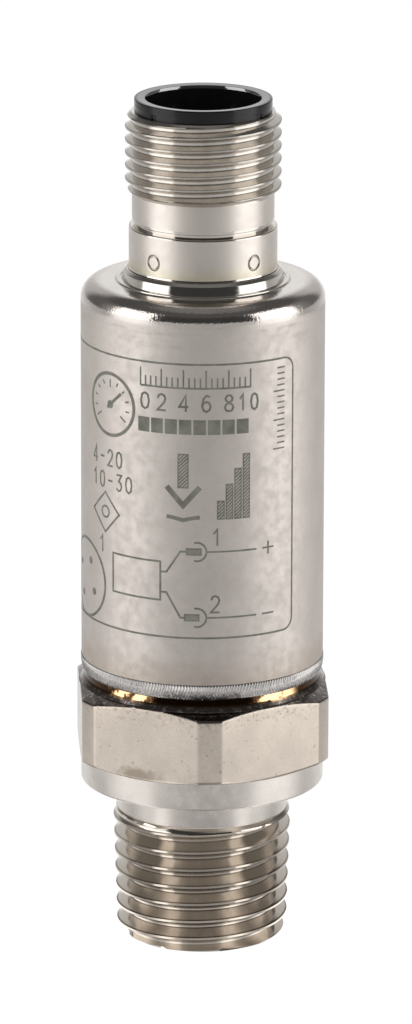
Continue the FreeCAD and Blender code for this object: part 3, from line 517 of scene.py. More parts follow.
def plastic(name, colour, rough, grain=0.3, speck=0.12, **constants):
    """Moulded plastic, rubber, board or ceramic: fine grain and a little dust."""
    s = Shader(bpy.data.materials.new(name))
    mm = s.place()[0]
    cloud = s.noise(mm, 0.9, 4.0)
    mixed = s.mix(s.smooth(cloud, 0.3, 0.7), tone(colour, 1 - speck), tone(colour, 1 + speck))
    roughness = s.smooth(s.noise(mm, 2.4, 4.0), 0.3, 0.7, rough * 0.8, rough * 1.2)
    normal = s.bump(s.noise(mm, 9.0, 3.0), GRAIN_HEIGHT * grain)
    return finish_material(s, mixed, roughness, normal, metallic=0.0, **constants)


housing_metal = metal("blasted_steel", (0.63, 0.58, 0.54), 0.55, grain=1.0, spread=0.05,
                      tint=housing_tint)
shoulder_metal = metal("shoulder_steel", (0.63, 0.58, 0.54), 0.15, grain=3.2, spread=0.08,
                       tint=shoulder_tint)
throat_metal = metal("throat_steel", (0.66, 0.62, 0.57), 0.09, grain=0.15, lines=1.2,
                     spread=0.06)
pipe_metal = metal("thread_steel", (0.66, 0.60, 0.53), 0.12, spread=0.06, tint=pipe_tint,
                   turned=0.3)
collar_metal = metal("collar_steel", (0.70, 0.65, 0.605), 0.30, grain=0.2, lines=0.4,
                     spread=0.06, turned=0.6)
hexagon_metal = metal("hexagon_steel", (0.585, 0.515, 0.445), 0.24, grain=0.4, pits=0.15,
                      tint=hexagon_tint)
satin_metal = metal("band_steel", (0.67, 0.62, 0.57), 0.37, grain=0.35, lines=0.1,
                    spread=0.03, tint=band_tint)
groove_metal = metal("lip_steel", (0.66, 0.61, 0.56), 0.10, grain=0.1, spread=0.05)
plug_metal = metal("plug_thread_steel", (0.68, 0.63, 0.57), 0.10, grain=0.1, tint=plug_tint,
                   turned=0.3)
bead_metal = metal("weld_steel", (0.54, 0.52, 0.50), 0.13, grain=0.3, tint=weld_tint)
cell_metal = metal("cell_steel", (0.60, 0.58, 0.56), 0.25, lines=0.6)
gold_metal = metal("pin_gold", (0.86, 0.62, 0.25), 0.20, lines=0.3, spread=0.08)
bronze_metal = metal("spring_bronze", (0.72, 0.47, 0.27), 0.30, grain=0.4)
solder_metal = metal("solder_tin", (0.66, 0.66, 0.68), 0.30, grain=0.8)
etched = plastic("laser_mark", (0.17, 0.17, 0.14), 0.55, grain=0.8, speck=0.25)
BLACK = (0.006, 0.006, 0.0065)
black_plastic = plastic("black_plastic", BLACK, 0.16, grain=0.15, IOR=1.38)
edge_plastic = plastic("polished_edge_plastic", BLACK, 0.08, grain=0.1, IOR=3.2)

# Nodes that keep their CAD mesh, and the material that each gets.
PLAIN = (
    (("measuring_cell",), cell_metal),
    (("cell_weld",), bead_metal),
    (("pin_solder",), solder_metal),
    (("ground_spring",), bronze_metal),
    (("contact_pin_1", "contact_pin_2", "contact_pin_3", "contact_pin_4"), gold_metal),
    (("strain_gauges",), plastic("gauge_film", (0.55, 0.30, 0.08), 0.35)),
    (("cell_board", "main_board", "connector_board"),
     plastic("board_green", (0.02, 0.16, 0.07), 0.35)),
    (("flex_lead",), plastic("lead_film", (0.55, 0.26, 0.05), 0.3)),
    (("board_holder",), plastic("holder_plastic", (0.55, 0.54, 0.50), 0.45)),
    (("signal_chip", "voltage_regulator", "protection_diodes"),
     plastic("chip_plastic", (0.02, 0.02, 0.022), 0.5)),
    (("capacitors",), plastic("capacitor_ceramic", (0.45, 0.30, 0.17), 0.4)),
    (("resistors",), plastic("resistor_ceramic", (0.05, 0.05, 0.06), 0.4)),
    (("carrier_seal", "sleeve_seal"), plastic("seal_rubber", (0.03, 0.03, 0.03), 0.6)),
    (("insulating_tube",), plastic("insulation_film", (0.60, 0.42, 0.12), 0.25)),
)
for nodes, material in PLAIN:
    for node in nodes:
        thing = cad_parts[node]
        if not thing.material_slots:
            thing.data.materials.append(material)
        for entry in thing.material_slots:
            entry.link = "OBJECT"
            entry.material = material


def flat_radius(phi):
    """Radius of the sharp hexagon at an angle off the front."""
    away = abs((math.degrees(phi) - HEX_TURN) % 60 - 30)
    return HEX_FLATS / 2 / math.cos(math.radians(away))


def hexagon_rows(columns):
    """Chamfer, flats with corner lands, and chamfer up to the spigot."""
    edge = 0.06
    side = [softmin(flat_radius(phi), HEX_R, 0.05) for phi in columns]
    low = [HEX_Z + (r - COLLAR_R) * CHAMFER_TAN for r in side]
    top = [LAND_TOP + (HEX_R - r) * CHAMFER_TAN for r in side]
    rows = []

    def row(make):
        rows.append([at(phi, *make(side[i], low[i], top[i])) for i, phi in enumerate(columns)])

    for t in (0.0, 0.5):
        row(lambda r, a, b: (COLLAR_R + (r - edge - COLLAR_R) * t,
                             HEX_Z + (r - edge - COLLAR_R) * t * CHAMFER_TAN))
    row(lambda r, a, b: (r - edge, a - edge * CHAMFER_TAN))
    row(lambda r, a, b: (r, a + edge))
    for t in (0.03, 0.35, 0.65, 0.97):
        row(lambda r, a, b: (r, a + edge + (b - a - 2 * edge) * t))
    row(lambda r, a, b: (r, b - edge))
    row(lambda r, a, b: (r - edge, b + edge * CHAMFER_TAN))
    foot = SPIGOT_R + 0.60
    for t in (0.06, 0.3, 0.6, 0.85, 1.0):
        row(lambda r, a, b: (r - edge + (foot - r + edge) * t,
                             b + (edge + (r - edge - foot) * t) * CHAMFER_TAN))
    return rows


def pipe_radius(phi, z):
    """The tapered thread with its lead chamfer and its run-out at the neck."""
    outer = PIPE_START_R + z * PIPE_TAPER
    fade = smoothstep(PIPE_TOP + 0.1, PIPE_TOP - 0.85, z)
    r = outer - groove(phi, z, PIPE_PITCH, PIPE_PHASE, PIPE_CREST, PIPE_DEPTH) * fade
    lead = min(5.7 + z * 3.0, 6.05 + z * 1.1)
    neck = NECK_R + (PIPE_TOP - z) * 0.9
    return min(r, lead, neck)


def build_connection():
    """Port, pipe thread, neck, collar, hexagon, spigot and register, with the cell's recess."""
    corners = [HEX_TURN + 60 * i + side * CORNER_REACH for i in range(6) for side in (-1, 1)]
    columns = turn_columns(1.25, corners, (-0.9, -0.4, 0.0, 0.4, 0.9))
    thread = rows_of([(PORT_R + 0.5, 0.0), (END_R, 0.0)], columns)[:-1]
    thread += thread_rows(columns, 0.0, PIPE_TOP, PIPE_PITCH, PIPE_PHASE, PIPE_CREST, PIPE_DEPTH,
                          pipe_radius)
    collar = rows_of([(NECK_R, PIPE_TOP + 0.1), (NECK_R, COLLAR_Z, 0.45),
                      (COLLAR_R, COLLAR_Z, 0.14), (COLLAR_R, HEX_Z - 0.02)], columns, 5)
    flats = hexagon_rows(columns)
    flats += rows_of([(SPIGOT_R + 0.58, SPIGOT_Z - 0.58 * CHAMFER_TAN),
                      (SPIGOT_R + 0.50, SPIGOT_Z - 0.50 * CHAMFER_TAN, FILLET_R),
                      (SPIGOT_R + 0.14, WELD_Z - 0.45, 0.12), (SPIGOT_R + 0.02, WELD_Z),
                      (REGISTER_R, WELD_Z), (REGISTER_R, REGISTER_TOP), (RECESS_R, REGISTER_TOP),
                      (RECESS_R, RECESS_Z), (PORT_R, RECESS_Z), (PORT_R, 0.5)], columns)
    bands = [(thread, pipe_metal), (collar, collar_metal), (flats, hexagon_metal)]
    return skin("connection_skin", bands, "process_connection")


def mark_depth(phi, z):
    """Depth of the staking marks in the band: a fine groove round a slightly sunk button."""
    bottom, outer, inner = 0.50, 0.15, 0.05
    depth = 0.0
    for angle in MARK_ANGLES:
        away = (math.degrees(phi) - angle + 180) % 360 - 180
        d = math.hypot(math.radians(away) * BAND_R, z - THROAT_Z - MARK_RISE)
        if d < 0.8:
            button = 0.03 * (1 - smoothstep(bottom, 0.56, d))
            slope = (d - bottom) / outer if d > bottom else (bottom - d) / inner
            depth = max(depth, button, 0.15 * (1 - slope))
    return depth


def plug_radius(phi, z):
    """The M12 thread with its start chamfer and its run-out at the relief."""
    r = THREAD_R - groove(phi, z, PLUG_PITCH, PLUG_PHASE, PLUG_CREST, PLUG_DEPTH)
    start = THREAD_R - max(z - SLEEVE_TOP + 0.5, 0.0)
    return min(r, start, RELIEF_R + (z - RELIEF_TOP) * 1.2)


def build_sleeve():
    """Pressed foot with a flared edge, band with staking marks, lip, relief and thread."""
    offsets = [-7.5 + 0.5 * i for i in range(31)]
    columns = turn_columns(1.25, MARK_ANGLES, offsets)
    foot = rows_of([(SLEEVE_BORE, SLEEVE_FOOT), (FOOT_R, SLEEVE_FOOT), (FOOT_R, THROAT_Z),
                    (BAND_R + 0.045, THROAT_Z, 0.01), (BAND_R, THROAT_Z + 0.12)], columns, 4)
    band = rows_of([(BAND_R, THROAT_Z + 0.13), (BAND_R, THROAT_Z + 0.35)], columns)
    z = THROAT_Z + 0.40
    while z < THROAT_Z + 2.02:
        band.append([at(phi, BAND_R - mark_depth(phi, z), z) for phi in columns])
        z += 0.04
    band += rows_of([(BAND_R, THROAT_Z + 2.1), (BAND_R, BAND_TOP - 0.16)], columns)
    lip = rows_of([(BAND_R, BAND_TOP - 0.15), (BAND_R, BAND_TOP, 0.14), (FOOT_R, BAND_TOP),
                   (FOOT_R, BAND_TOP + 0.3), (RELIEF_R, BAND_TOP + 0.3, 0.08),
                   (RELIEF_R, BAND_TOP + 0.5)], columns, 4)
    relief = rows_of([(RELIEF_R, BAND_TOP + 0.55), (RELIEF_R, RELIEF_TOP - 0.05)], columns)
    thread = thread_rows(columns, RELIEF_TOP, SLEEVE_TOP, PLUG_PITCH, PLUG_PHASE, PLUG_CREST,
                         PLUG_DEPTH, plug_radius)
    thread += rows_of([(5.2, SLEEVE_TOP), (SLEEVE_MOUTH, SLEEVE_TOP), (SLEEVE_MOUTH, LEDGE_Z),
                       (SLEEVE_BORE, LEDGE_Z)], columns)
    bands = [(foot, groove_metal), (band, satin_metal), (lip, groove_metal),
             (relief, satin_metal), (thread, plug_metal)]
    return skin("sleeve_skin", bands, "threaded_sleeve")


def build_housing():
    """Blasted wall, rolled shoulder, polished throat in two rings, and the bore."""
    columns = turn_columns(1.0)
    bore = HOUSING_R - HOUSING_WALL
    ceiling = ROOF_Z - HOUSING_WALL
    wall = rows_of([(bore, HOUSING_Z), (HOUSING_R, HOUSING_Z), (HOUSING_R, ROOF_Z - 1.9)],
                   columns)
    shoulder = rows_of([(HOUSING_R, ROOF_Z - 1.88), (HOUSING_R, ROOF_Z, 1.4), (7.85, ROOF_Z)],
                       columns, 14)
    throat = rows_of([(7.8, ROOF_Z), (6.66, ROOF_Z, 0.10), (6.60, ROOF_Z + 0.13, 0.05),
                      (6.34, ROOF_Z + 0.15, 0.04), (6.32, ROOF_Z + 0.06, 0.03),
                      (6.20, ROOF_Z + 0.06, 0.04), (6.06, THROAT_Z - 0.26, 0.06),
                      (5.82, THROAT_Z - 0.04, 0.08), (5.74, THROAT_Z - 0.04, 0.02),
                      (5.70, THROAT_Z - 0.13), (THROAT_BORE, THROAT_Z - 0.13)], columns, 8)
    inside = rows_of([(THROAT_BORE, THROAT_Z - 0.2), (THROAT_BORE, ROOF_Z - 2.4),
                      (THROAT_WALL_R, ROOF_Z - 2.4), (THROAT_WALL_R, ceiling),
                      (bore, ceiling, 0.5), (bore, HOUSING_Z + 0.1)], columns)
    bands = [(wall, housing_metal), (shoulder, shoulder_metal), (throat, throat_metal),
             (inside, housing_metal)]
    return skin("housing_skin", bands, "housing_tube")


def build_weld():
    """The bead: overlapping curved ripples round the joint."""
    ripples = 262
    columns = turn_columns(360 / (ripples * 6))
    half = 0.62
    shape = [(8.97, 0.0), (9.10, 0.01), (9.17, 0.05), (9.22, 0.13), (9.26, 0.24), (9.30, 0.38),
             (9.33, 0.54), (9.355, 0.70), (9.37, 0.85), (9.375, 0.99), (9.365, 1.12),
             (9.31, 1.25)]
    rows = []
    for r, up in shape:
        across = (up - half) / half
        row = []
        for phi in columns:
            phase = phi / math.tau * ripples + 0.9 * across * across - 1.6 * across
            phase += 0.25 * math.sin(phi * 7) + 0.2 * math.sin(phi * 23 + 1)
            t = phase % 1.0
            wave = t / 0.75 if t < 0.75 else (1 - t) / 0.25
            fade = smoothstep(1.02, 0.75, abs(across))
            row.append(at(phi, min(r + (wave - 0.75) * 0.11 * fade, BEAD_R), WELD_Z + up))
        rows.append(row)
    inner = [[at(phi, REGISTER_R + 0.02, z) for phi in columns] for z in (HOUSING_Z, WELD_Z)]
    return skin("weld_skin", [(rows + inner, bead_metal)], "housing_weld", 60)


def rim_notch(phi):
    """Depth of the two small moulding notches under the plastic rim."""
    away = min(abs(math.degrees(phi) + 46), abs(math.degrees(phi) - 55))
    return 0.16 * (1 - smoothstep(1.6, 2.6, away))


def build_insert():
    """Foot and skirt inside the sleeve, notched rim, sloping lip and the socket's bore."""
    columns = turn_columns(1.0)
    foot, skirt, step = 4.15, 4.75, RIM_TOP - 9.7
    rows = rows_of([(0.0, INSERT_LOW[2]), (foot, INSERT_LOW[2]), (foot, step), (skirt, step),
                    (skirt, SLEEVE_TOP + 0.01)], columns)
    for up in (0.01, 0.10, 0.30, 0.36):
        deep = 1.0 if up < 0.33 else 0.0
        rows.append([at(phi, RIM_R - 0.02 - rim_notch(phi) * deep, SLEEVE_TOP + up)
                     for phi in columns])
    rows += rows_of([(RIM_R, SLEEVE_TOP + 0.42), (RIM_R, RIM_TOP, 0.10), (5.02, RIM_TOP)],
                    columns, 5)
    edge = rows_of([(5.0, RIM_TOP), (4.43, RIM_TOP - 0.045, 0.03), (4.37, RIM_TOP - 0.19, 0.03),
                    (SOCKET_R, RIM_TOP - 0.26)], columns, 5)
    bore = rows_of([(SOCKET_R, RIM_TOP - 0.30), (SOCKET_R, SOCKET_FLOOR, 0.15),
                    (0.0, SOCKET_FLOOR)], columns, 5)
    bands = [(rows, black_plastic), (edge, edge_plastic), (bore, black_plastic)]
    return skin("insert_skin", bands, "contact_carrier")


def build_key():
    """The coding key inside the socket: a rib with rounded long edges and a sloping top."""
    top = RIM_TOP - 1.6
    root = SOCKET_R + 0.1
    section = [(-0.6, root), (-0.6, 3.83), (-0.55, 3.77), (-0.48, 3.75), (0.48, 3.75),
               (0.55, 3.77), (0.6, 3.83), (0.6, root)]
    levels = [(SOCKET_FLOOR, 0.0), (top - 0.3, 0.0), (top - 0.08, 0.04), (top, 0.16)]
    points = []
    for z, back in levels:
        for x, y in section:
            points.append((x * MM, -min(y + back, root) * MM, z * MM))
    count = len(section)
    faces = []
    for i in range(len(levels) - 1):
        for j in range(count):
            k = (j + 1) % count
            faces.append((i * count + j, (i + 1) * count + j, (i + 1) * count + k,
                          i * count + k))
    last = (len(levels) - 1) * count
    faces.append(tuple(range(count)))
    faces.append(tuple(last + j for j in reversed(range(count))))
    thing = solid("socket_key", points, faces, [black_plastic])
    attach(thing, "root")


class Marks:
    """Laser-etched strokes on the housing, as thin closed strips, all in one mesh."""
    RADIUS = HOUSING_R + 0.010
    SUNK = HOUSING_R - 0.05

    def __init__(self):
        self.points = []
        self.faces = []

    def stroke(self, path, width, closed=False):
        """A strip of constant width along (arc length, height) points."""
        fine = []
        count = len(path)
        for i in range(count if closed else count - 1):
            a, b = Vector(path[i]), Vector(path[(i + 1) % count])
            parts = max(1, math.ceil(abs(b.x - a.x) / 0.35))
            fine += [a.lerp(b, k / parts) for k in range(parts)]
        if not closed:
            fine.append(Vector(path[-1]))
        base = len(self.points)
        total = len(fine)
        for i, p in enumerate(fine):
            before = fine[i - 1] if closed or i else p
            after = fine[(i + 1) % total] if closed or i < total - 1 else p
            d1 = (p - before).normalized() if before is not p else (after - p).normalized()
            d2 = (after - p).normalized() if after is not p else d1
            n1 = Vector((-d1.y, d1.x))
            n2 = Vector((-d2.y, d2.x))
            n = (n1 + n2).normalized()
            n *= width / 2 / max(n.dot(n1), 0.45)
            for side, r in ((n, self.RADIUS), (-n, self.RADIUS), (-n, self.SUNK), (n, self.SUNK)):
                self.points.append(at((p.x + side.x) / HOUSING_R, r, p.y + side.y))
        for i in range(total if closed else total - 1):
            a = base + 4 * i
            b = base + 4 * ((i + 1) % total)
            for k in range(4):
                m = (k + 1) % 4
                self.faces.append((a + k, a + m, b + m, b + k))
        if not closed:
            self.faces.append((base + 3, base + 2, base + 1, base))
            end = base + 4 * (total - 1)
            self.faces.append((end, end + 1, end + 2, end + 3))

    def ring(self, s, z, radius, width, start=0, stop=360):
        steps = max(10, int(radius * 22 * (stop - start) / 360))
        full = stop - start == 360
        path = []
        for i in range(steps if full else steps + 1):
            a = math.radians(start + (stop - start) * i / steps)
            path.append((s + radius * math.cos(a), z + radius * math.sin(a)))
        self.stroke(path, width, full)

    def hatched(self, s0, s1, z0, z1, width=0.13, gap=0.2):
        """A block of slanting strokes inside an outline."""
        self.stroke([(s0, z0), (s1, z0), (s1, z1), (s0, z1)], 0.10, True)
        high = z1 - z0
        c = s0 - high + gap
        while c < s1:
            a = max(c, s0)
            b = min(c + high, s1)
            if b - a > 0.08:
                self.stroke([(a, z0 + a - c), (b, z0 + b - c)], width)
            c += gap * 1.35


DIGITS = {
    "0": [[(0.5, 1.0), (0.18, 0.88), (0.05, 0.5), (0.18, 0.12), (0.5, 0.0), (0.82, 0.12),
           (0.95, 0.5), (0.82, 0.88), (0.5, 1.0)]],
    "1": [[(0.15, 0.72), (0.55, 1.0), (0.55, 0.0)]],
    "2": [[(0.08, 0.74), (0.22, 0.94), (0.5, 1.0), (0.8, 0.92), (0.9, 0.72), (0.78, 0.5),
           (0.05, 0.0), (0.95, 0.0)]],
    "3": [[(0.08, 1.0), (0.9, 1.0), (0.45, 0.6), (0.8, 0.5), (0.92, 0.28), (0.75, 0.06),
           (0.45, 0.0), (0.08, 0.14)]],
    "4": [[(0.72, 0.0), (0.72, 1.0), (0.05, 0.28), (0.98, 0.28)]],
    "6": [[(0.85, 0.94), (0.5, 1.0), (0.2, 0.8), (0.06, 0.36), (0.22, 0.08), (0.5, 0.0),
           (0.8, 0.1), (0.92, 0.32), (0.8, 0.54), (0.5, 0.62), (0.2, 0.52), (0.08, 0.36)]],
    "8": [[(0.5, 0.54), (0.2, 0.66), (0.14, 0.82), (0.3, 0.96), (0.5, 1.0), (0.7, 0.96),
           (0.86, 0.82), (0.8, 0.66), (0.5, 0.54), (0.16, 0.4), (0.06, 0.22), (0.22, 0.05),
           (0.5, 0.0), (0.78, 0.05), (0.94, 0.22), (0.84, 0.4), (0.5, 0.54)]],
    "-": [[(0.1, 0.5), (0.9, 0.5)]],
}


def write(marks, text, s, z, height, width, weight):
    """Plain digits from a lower left corner."""
    for sign in text:
        for path in DIGITS[sign]:
            marks.stroke([(s + x * width, z + y * height) for x, y in path], weight)
        s += width * 1.55


def build_marks():
    """Frame, gauge, scale, ruler, signal pictograms, ranges, connector face and wiring."""
    m = Marks()
    left, right, low, top, corner = -21.0, 7.62, 26.46, 47.9, 0.9
    path = []
    for s, z, start in ((right, top, 90), (right, low, 0), (left, low, -90), (left, top, 180)):
        cs = s - corner if s > 0 else s + corner
        cz = z - corner if z > 40 else z + corner
        for k in range(6):
            a = math.radians(start - 90 * k / 5)
            path.append((cs + corner * math.cos(a), cz + corner * math.sin(a)))
    m.stroke(path, 0.15, True)
    # round pressure gauge
    gs, gz, gr = -7.9, 44.0, 2.4
    m.ring(gs, gz, gr, 0.26)
    for k in range(11):
        a = math.radians(215 - 25 * k)
        near = 0.68 if k % 5 else 0.55
        m.stroke([(gs + gr * near * math.cos(a), gz + gr * near * math.sin(a)),
                  (gs + gr * 0.82 * math.cos(a), gz + gr * 0.82 * math.sin(a))], 0.13)
    m.stroke([(gs - 0.35, gz - 0.30), (gs + 1.15, gz + 1.0)], 0.24)
    m.ring(gs, gz, 0.22, 0.20)
    # linear scale with plain numbers and a segmented bar
    scale_left, scale_long, scale_z, digits_z = -4.9, 8.6, 46.05, 44.25
    m.stroke([(scale_left, scale_z), (3.7, scale_z)], 0.14)
    for k in range(21):
        s = scale_left + scale_long * k / 20
        m.stroke([(s, scale_z), (s, 47.45 if k % 4 == 0 else 46.85)], 0.12)
    for k, text in enumerate(("0", "2", "4", "6", "8")):
        s = scale_left + 1.72 * k - (0.0 if k == 0 else 0.35)
        write(m, text, s, digits_z, 1.25, 0.75, 0.16)
    write(m, "10", 2.75, digits_z, 1.25, 0.62, 0.16)
    for k in range(8):
        s = -5.05 + 1.1 * k
        m.hatched(s, s + 0.85, 42.5, 43.55, 0.16, 0.17)
    # upright ruler by the frame
    for k in range(15):
        z = 40.9 + 0.45 * k
        m.stroke([(6.05 if k % 5 else 5.7, z), (6.75, z)], 0.12)
    # pressure on a diaphragm, and a rising signal
    m.hatched(-1.85, -1.10, 38.3, 40.9)
    m.stroke([(-2.75, 38.35), (-1.48, 36.9), (-0.2, 38.35)], 0.42)
    m.stroke([(-2.75, 36.0), (-2.3, 35.95), (-1.48, 35.75), (-0.65, 35.95), (-0.2, 36.0)],
             0.30)
    for k, high in enumerate((1.4, 2.7, 3.9, 5.0)):
        s = 1.15 + 0.66 * k
        m.hatched(s, s + 0.50, 35.85, 35.85 + high)
    # ranges and a plain diamond
    write(m, "4-20", -10.15, 39.15, 1.25, 0.62, 0.15)
    write(m, "10-30", -10.15, 37.35, 1.25, 0.62, 0.15)
    m.stroke([(-10.1, 35.45), (-8.5, 37.0), (-6.95, 35.45), (-8.5, 33.85)], 0.15, True)
    m.ring(-8.5, 35.45, 0.45, 0.15)
    # connector face and wiring
    cs, cz = -11.6, 29.55
    m.ring(cs, cz, 3.05, 0.22)
    for degrees in (60, 150, 240, 330):
        a = math.radians(degrees)
        m.ring(cs + 1.7 * math.cos(a), cz + 1.7 * math.sin(a), 0.16, 0.26)
    write(m, "1", -9.25, 32.2, 1.3, 0.7, 0.15)
    m.stroke([(-7.6, 29.35), (-3.25, 29.35), (-3.25, 32.38), (-7.6, 32.38)], 0.15, True)
    m.stroke([(-3.25, 31.6), (-2.77, 31.6), (-1.67, 33.28), (-1.25, 33.28)], 0.15)
    m.stroke([(-3.25, 30.0), (-2.77, 30.0), (-1.67, 28.06), (-1.4, 28.06)], 0.15)
    upper_z, lower_z = 33.28, 28.08
    for z, start in ((upper_z, -1.2), (lower_z, -1.35)):
        m.hatched(start, start + 1.1, z - 0.24, z + 0.24, 0.12, 0.16)
        m.ring(-0.42, z, 0.74, 0.15, -105, 105)
        m.stroke([(0.38, z), (4.25, z)], 0.14)
    write(m, "1", 0.75, 33.75, 1.3, 0.7, 0.15)
    write(m, "2", 0.62, 28.5, 1.3, 0.75, 0.15)
    for z in (upper_z, lower_z):
        m.stroke([(4.75, z), (5.75, z)], 0.14)
    m.stroke([(5.25, upper_z - 0.5), (5.25, upper_z + 0.5)], 0.14)
    thing = solid("laser_marks", m.points, m.faces, [etched], 30, 1e-9)
    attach(thing, "root")


build_connection()
build_sleeve()
build_housing()
build_weld()
build_insert()
build_key()
build_marks()


def azimuth_of(s, x, y):
    """Angle off the front over a whole turn, as 0 to 1 from the back round by the left."""
    turn = s.math("ARCTAN2", x, s.math("MULTIPLY", y, -1.0))
    return s.math("MULTIPLY_ADD", turn, 1 / math.tau, 0.5)


def ring_of(*pairs):
    """(degrees off the front, level) pairs as places from 0 to 1 with the levels halved."""
    return [((degrees + 180) / 360, level / 2) for degrees, level in pairs]


# How bright metal sees the room round the object: from FAR_LEVELS at the horizon and HIGH_LEVELS
# above it to three rings of the floor, NEAR_LEVELS, INNER_LEVELS and CLOSE_LEVELS, inwards.
FAR_LEVELS = ring_of((-180, 1.0), (-155, 0.80), (-130, 0.62), (-100, 0.55), (-93, 1.3),
                     (-85, 1.7), (-52, 1.6), (-47, 0.80), (-38, 0.68), (-17, 0.57), (2, 0.50),
                     (20, 0.57), (40, 0.66), (51, 0.80), (56, 1.6), (90, 1.8), (98, 1.4),
                     (105, 0.55), (132, 0.62), (156, 0.80), (180, 1.0))
INNER_LEVELS = ring_of((-180, 0.9), (-138, 0.8), (-112, 0.35), (-72, 0.30), (-64, 1.5),
                       (-49, 1.6), (-45, 0.50), (-20, 0.36), (2, 0.32), (22, 0.36), (45, 0.50),
                       (49, 1.6), (64, 1.5), (72, 0.30), (112, 0.35), (138, 0.8), (180, 0.9))
CLOSE_LEVELS = ring_of((-180, 1.6), (-118, 1.6), (-100, 0.8), (-88, 0.50), (-72, 0.80),
                       (-56, 1.7), (-44, 1.5), (-36, 0.75), (-25, 0.50), (2, 0.45), (25, 0.50),
                       (34, 0.75), (42, 1.5), (56, 1.7), (72, 0.80), (88, 0.50), (100, 0.8),
                       (118, 1.6), (180, 1.6))
NEAR_LEVELS = ring_of((-180, 1.0), (-140, 0.90), (-112, 0.72), (-92, 1.05), (-76, 1.30),
                      (-60, 1.0), (-46, 0.90), (-20, 0.83), (2, 0.80), (25, 0.83), (48, 0.90),
                      (62, 1.05), (78, 1.35), (94, 1.1), (114, 0.72), (140, 0.90), (180, 1.0))
HIGH_LEVELS = ring_of((-180, 1.0), (-168, 0.66), (-150, 0.60), (-138, 0.16), (-115, 0.14),
                      (-100, 0.35), (-60, 0.20), (-45, 0.05), (45, 0.05), (60, 0.20),
                      (105, 0.35), (122, 0.18), (140, 0.16), (150, 0.60), (168, 0.66),
                      (180, 1.0))


def grey(level):
    return (level, level, level)


def build_world():
    """A white room for the eye; metal sees it dark above the front and greyer at the back."""
    world = bpy.data.worlds.new("studio")
    bpy.context.scene.world = world
    s = Shader(world)
    coords = s.add("ShaderNodeTexCoord")
    parts = s.add("ShaderNodeSeparateXYZ")
    s.put(parts.inputs[0], coords.outputs["Generated"])
    x, y, z = parts.outputs
    place = azimuth_of(s, x, y)
    overhead, zenith, ambient, white = grey(0.05), grey(0.11), grey(0.30), grey(0.5)
    level = s.mix(s.smooth(z, -0.03, 0.06), s.steps(place, FAR_LEVELS),
                  s.steps(place, HIGH_LEVELS))
    level = s.mix(s.smooth(z, 0.50, 0.66), level, overhead)
    level = s.mix(s.smooth(z, 0.86, 0.94), level, zenith)
    light = s.add("ShaderNodeLightPath")
    shown = s.math("MAXIMUM", light.outputs["Is Camera Ray"],
                   light.outputs["Is Transmission Ray"])
    level = s.mix(light.outputs["Is Glossy Ray"], ambient, level)
    back = s.add("ShaderNodeBackground")
    s.put(back.inputs["Color"], s.mix(shown, level, white))
    back.inputs["Strength"].default_value = 2.0
    out = s.add("ShaderNodeOutputWorld")
    s.put(out.inputs["Surface"], back.outputs[0])


def build_softboxes():
    """One tall softbox on each side, a little in front of the object."""
    reach, height, centre, radiance = 0.60, 0.52, 0.31, 1.8
    for name, side, width in (("softbox_left", -71.5, 0.50), ("softbox_right", 76, 0.53)):
        data = bpy.data.lights.new(name, "AREA")
        data.shape = "RECTANGLE"
        data.size = width
        data.size_y = height
        data.energy = radiance * math.pi * data.size * data.size_y
        lamp = bpy.data.objects.new(name, data)
        bpy.context.scene.collection.objects.link(lamp)
        turn = math.radians(side)
        place = Vector((reach * math.sin(turn), -reach * math.cos(turn), centre))
        lamp.location = place
        level_aim = Vector((0, 0, place.z)) - place
        lamp.rotation_euler = level_aim.to_track_quat("-Z", "Y").to_euler()
        lamp.visible_camera = False


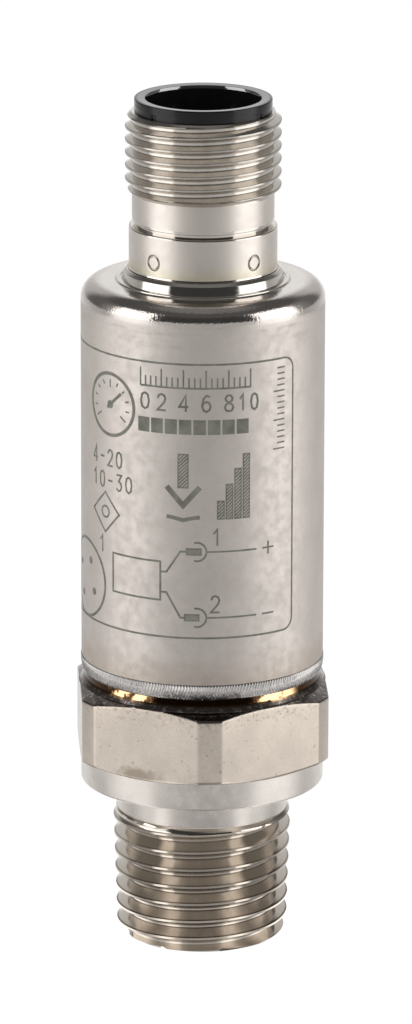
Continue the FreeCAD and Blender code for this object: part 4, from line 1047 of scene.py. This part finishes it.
def build_floor():
    """A pale floor that keeps the object's shadow; for metal it glows with a painted pattern of
    the softboxes' light in rings round the object.
    """
    s = Shader(bpy.data.materials.new("studio_floor"))
    mm, radius, _, x, y = s.place()
    squeeze = s.math("SUBTRACT", 1.0, s.math("DIVIDE", 3.5, s.math("MAXIMUM", radius, 7.0)))
    off_front = s.math("DIVIDE", s.math("SUBTRACT", azimuth_of(s, x, y), 0.5), squeeze)
    place = s.math("ADD", off_front, 0.5)
    diffuse = s.add("ShaderNodeBsdfDiffuse")
    s.put(diffuse.inputs["Color"], s.mix(s.noise(mm, 0.01), grey(0.80), grey(0.82)))
    # Painted reflection: glow levels by angle and distance, seen only by glossy rays.
    painted_floor_glow = s.steps(place, CLOSE_LEVELS)
    for low, high, levels in ((14.0, 17.0, INNER_LEVELS), (34.0, 38.0, NEAR_LEVELS),
                              (74.0, 86.0, FAR_LEVELS)):
        painted_floor_glow = s.mix(s.smooth(radius, low, high), painted_floor_glow, s.steps(place, levels))
    light = s.add("ShaderNodeLightPath")
    glow = s.add("ShaderNodeEmission")
    s.put(glow.inputs["Color"], s.mix(light.outputs["Is Camera Ray"], painted_floor_glow, grey(0.528)))
    glow.inputs["Strength"].default_value = 2.0
    shown = s.math("MAXIMUM", light.outputs["Is Camera Ray"],
                   light.outputs["Is Transmission Ray"])
    blend = s.add("ShaderNodeMixShader")
    s.put(blend.inputs[0], s.math("MAXIMUM", light.outputs["Is Glossy Ray"],
                                  s.math("MULTIPLY", shown, 0.93)))
    s.put(blend.inputs[1], diffuse.outputs[0])
    s.put(blend.inputs[2], glow.outputs[0])
    out = s.add("ShaderNodeOutputMaterial")
    s.put(out.inputs["Surface"], blend.outputs[0])
    size, count = 3.0, 64
    edge = [(size * math.cos(math.tau * i / count), size * math.sin(math.tau * i / count), 0.0)
            for i in range(count)]
    floor = solid("floor", edge, [tuple(range(count))], [s.owner])


def build_camera():
    """A long lens at the height of the housing, looking sixteen degrees down."""
    pitch, roll = math.radians(15.88), math.radians(0.13)
    distance, aside, aim = 529.8, 0.27, 33.78
    data = bpy.data.cameras.new("camera")
    data.lens = 242.2
    data.sensor_width = 36.0
    data.clip_start = 0.01
    data.clip_end = 20.0
    camera = bpy.data.objects.new("camera", data)
    bpy.context.scene.collection.objects.link(camera)
    place = Vector((aside, -distance * math.cos(pitch), aim + distance * math.sin(pitch))) * MM
    camera.matrix_world = (Matrix.Translation(place)
                           @ Matrix.Rotation(math.pi / 2 - pitch, 4, "X")
                           @ Matrix.Rotation(roll, 4, "Z"))
    bpy.context.scene.camera = camera


build_world()
build_softboxes()
build_floor()
build_camera()
bpy.context.scene.view_settings.view_transform = "Standard"
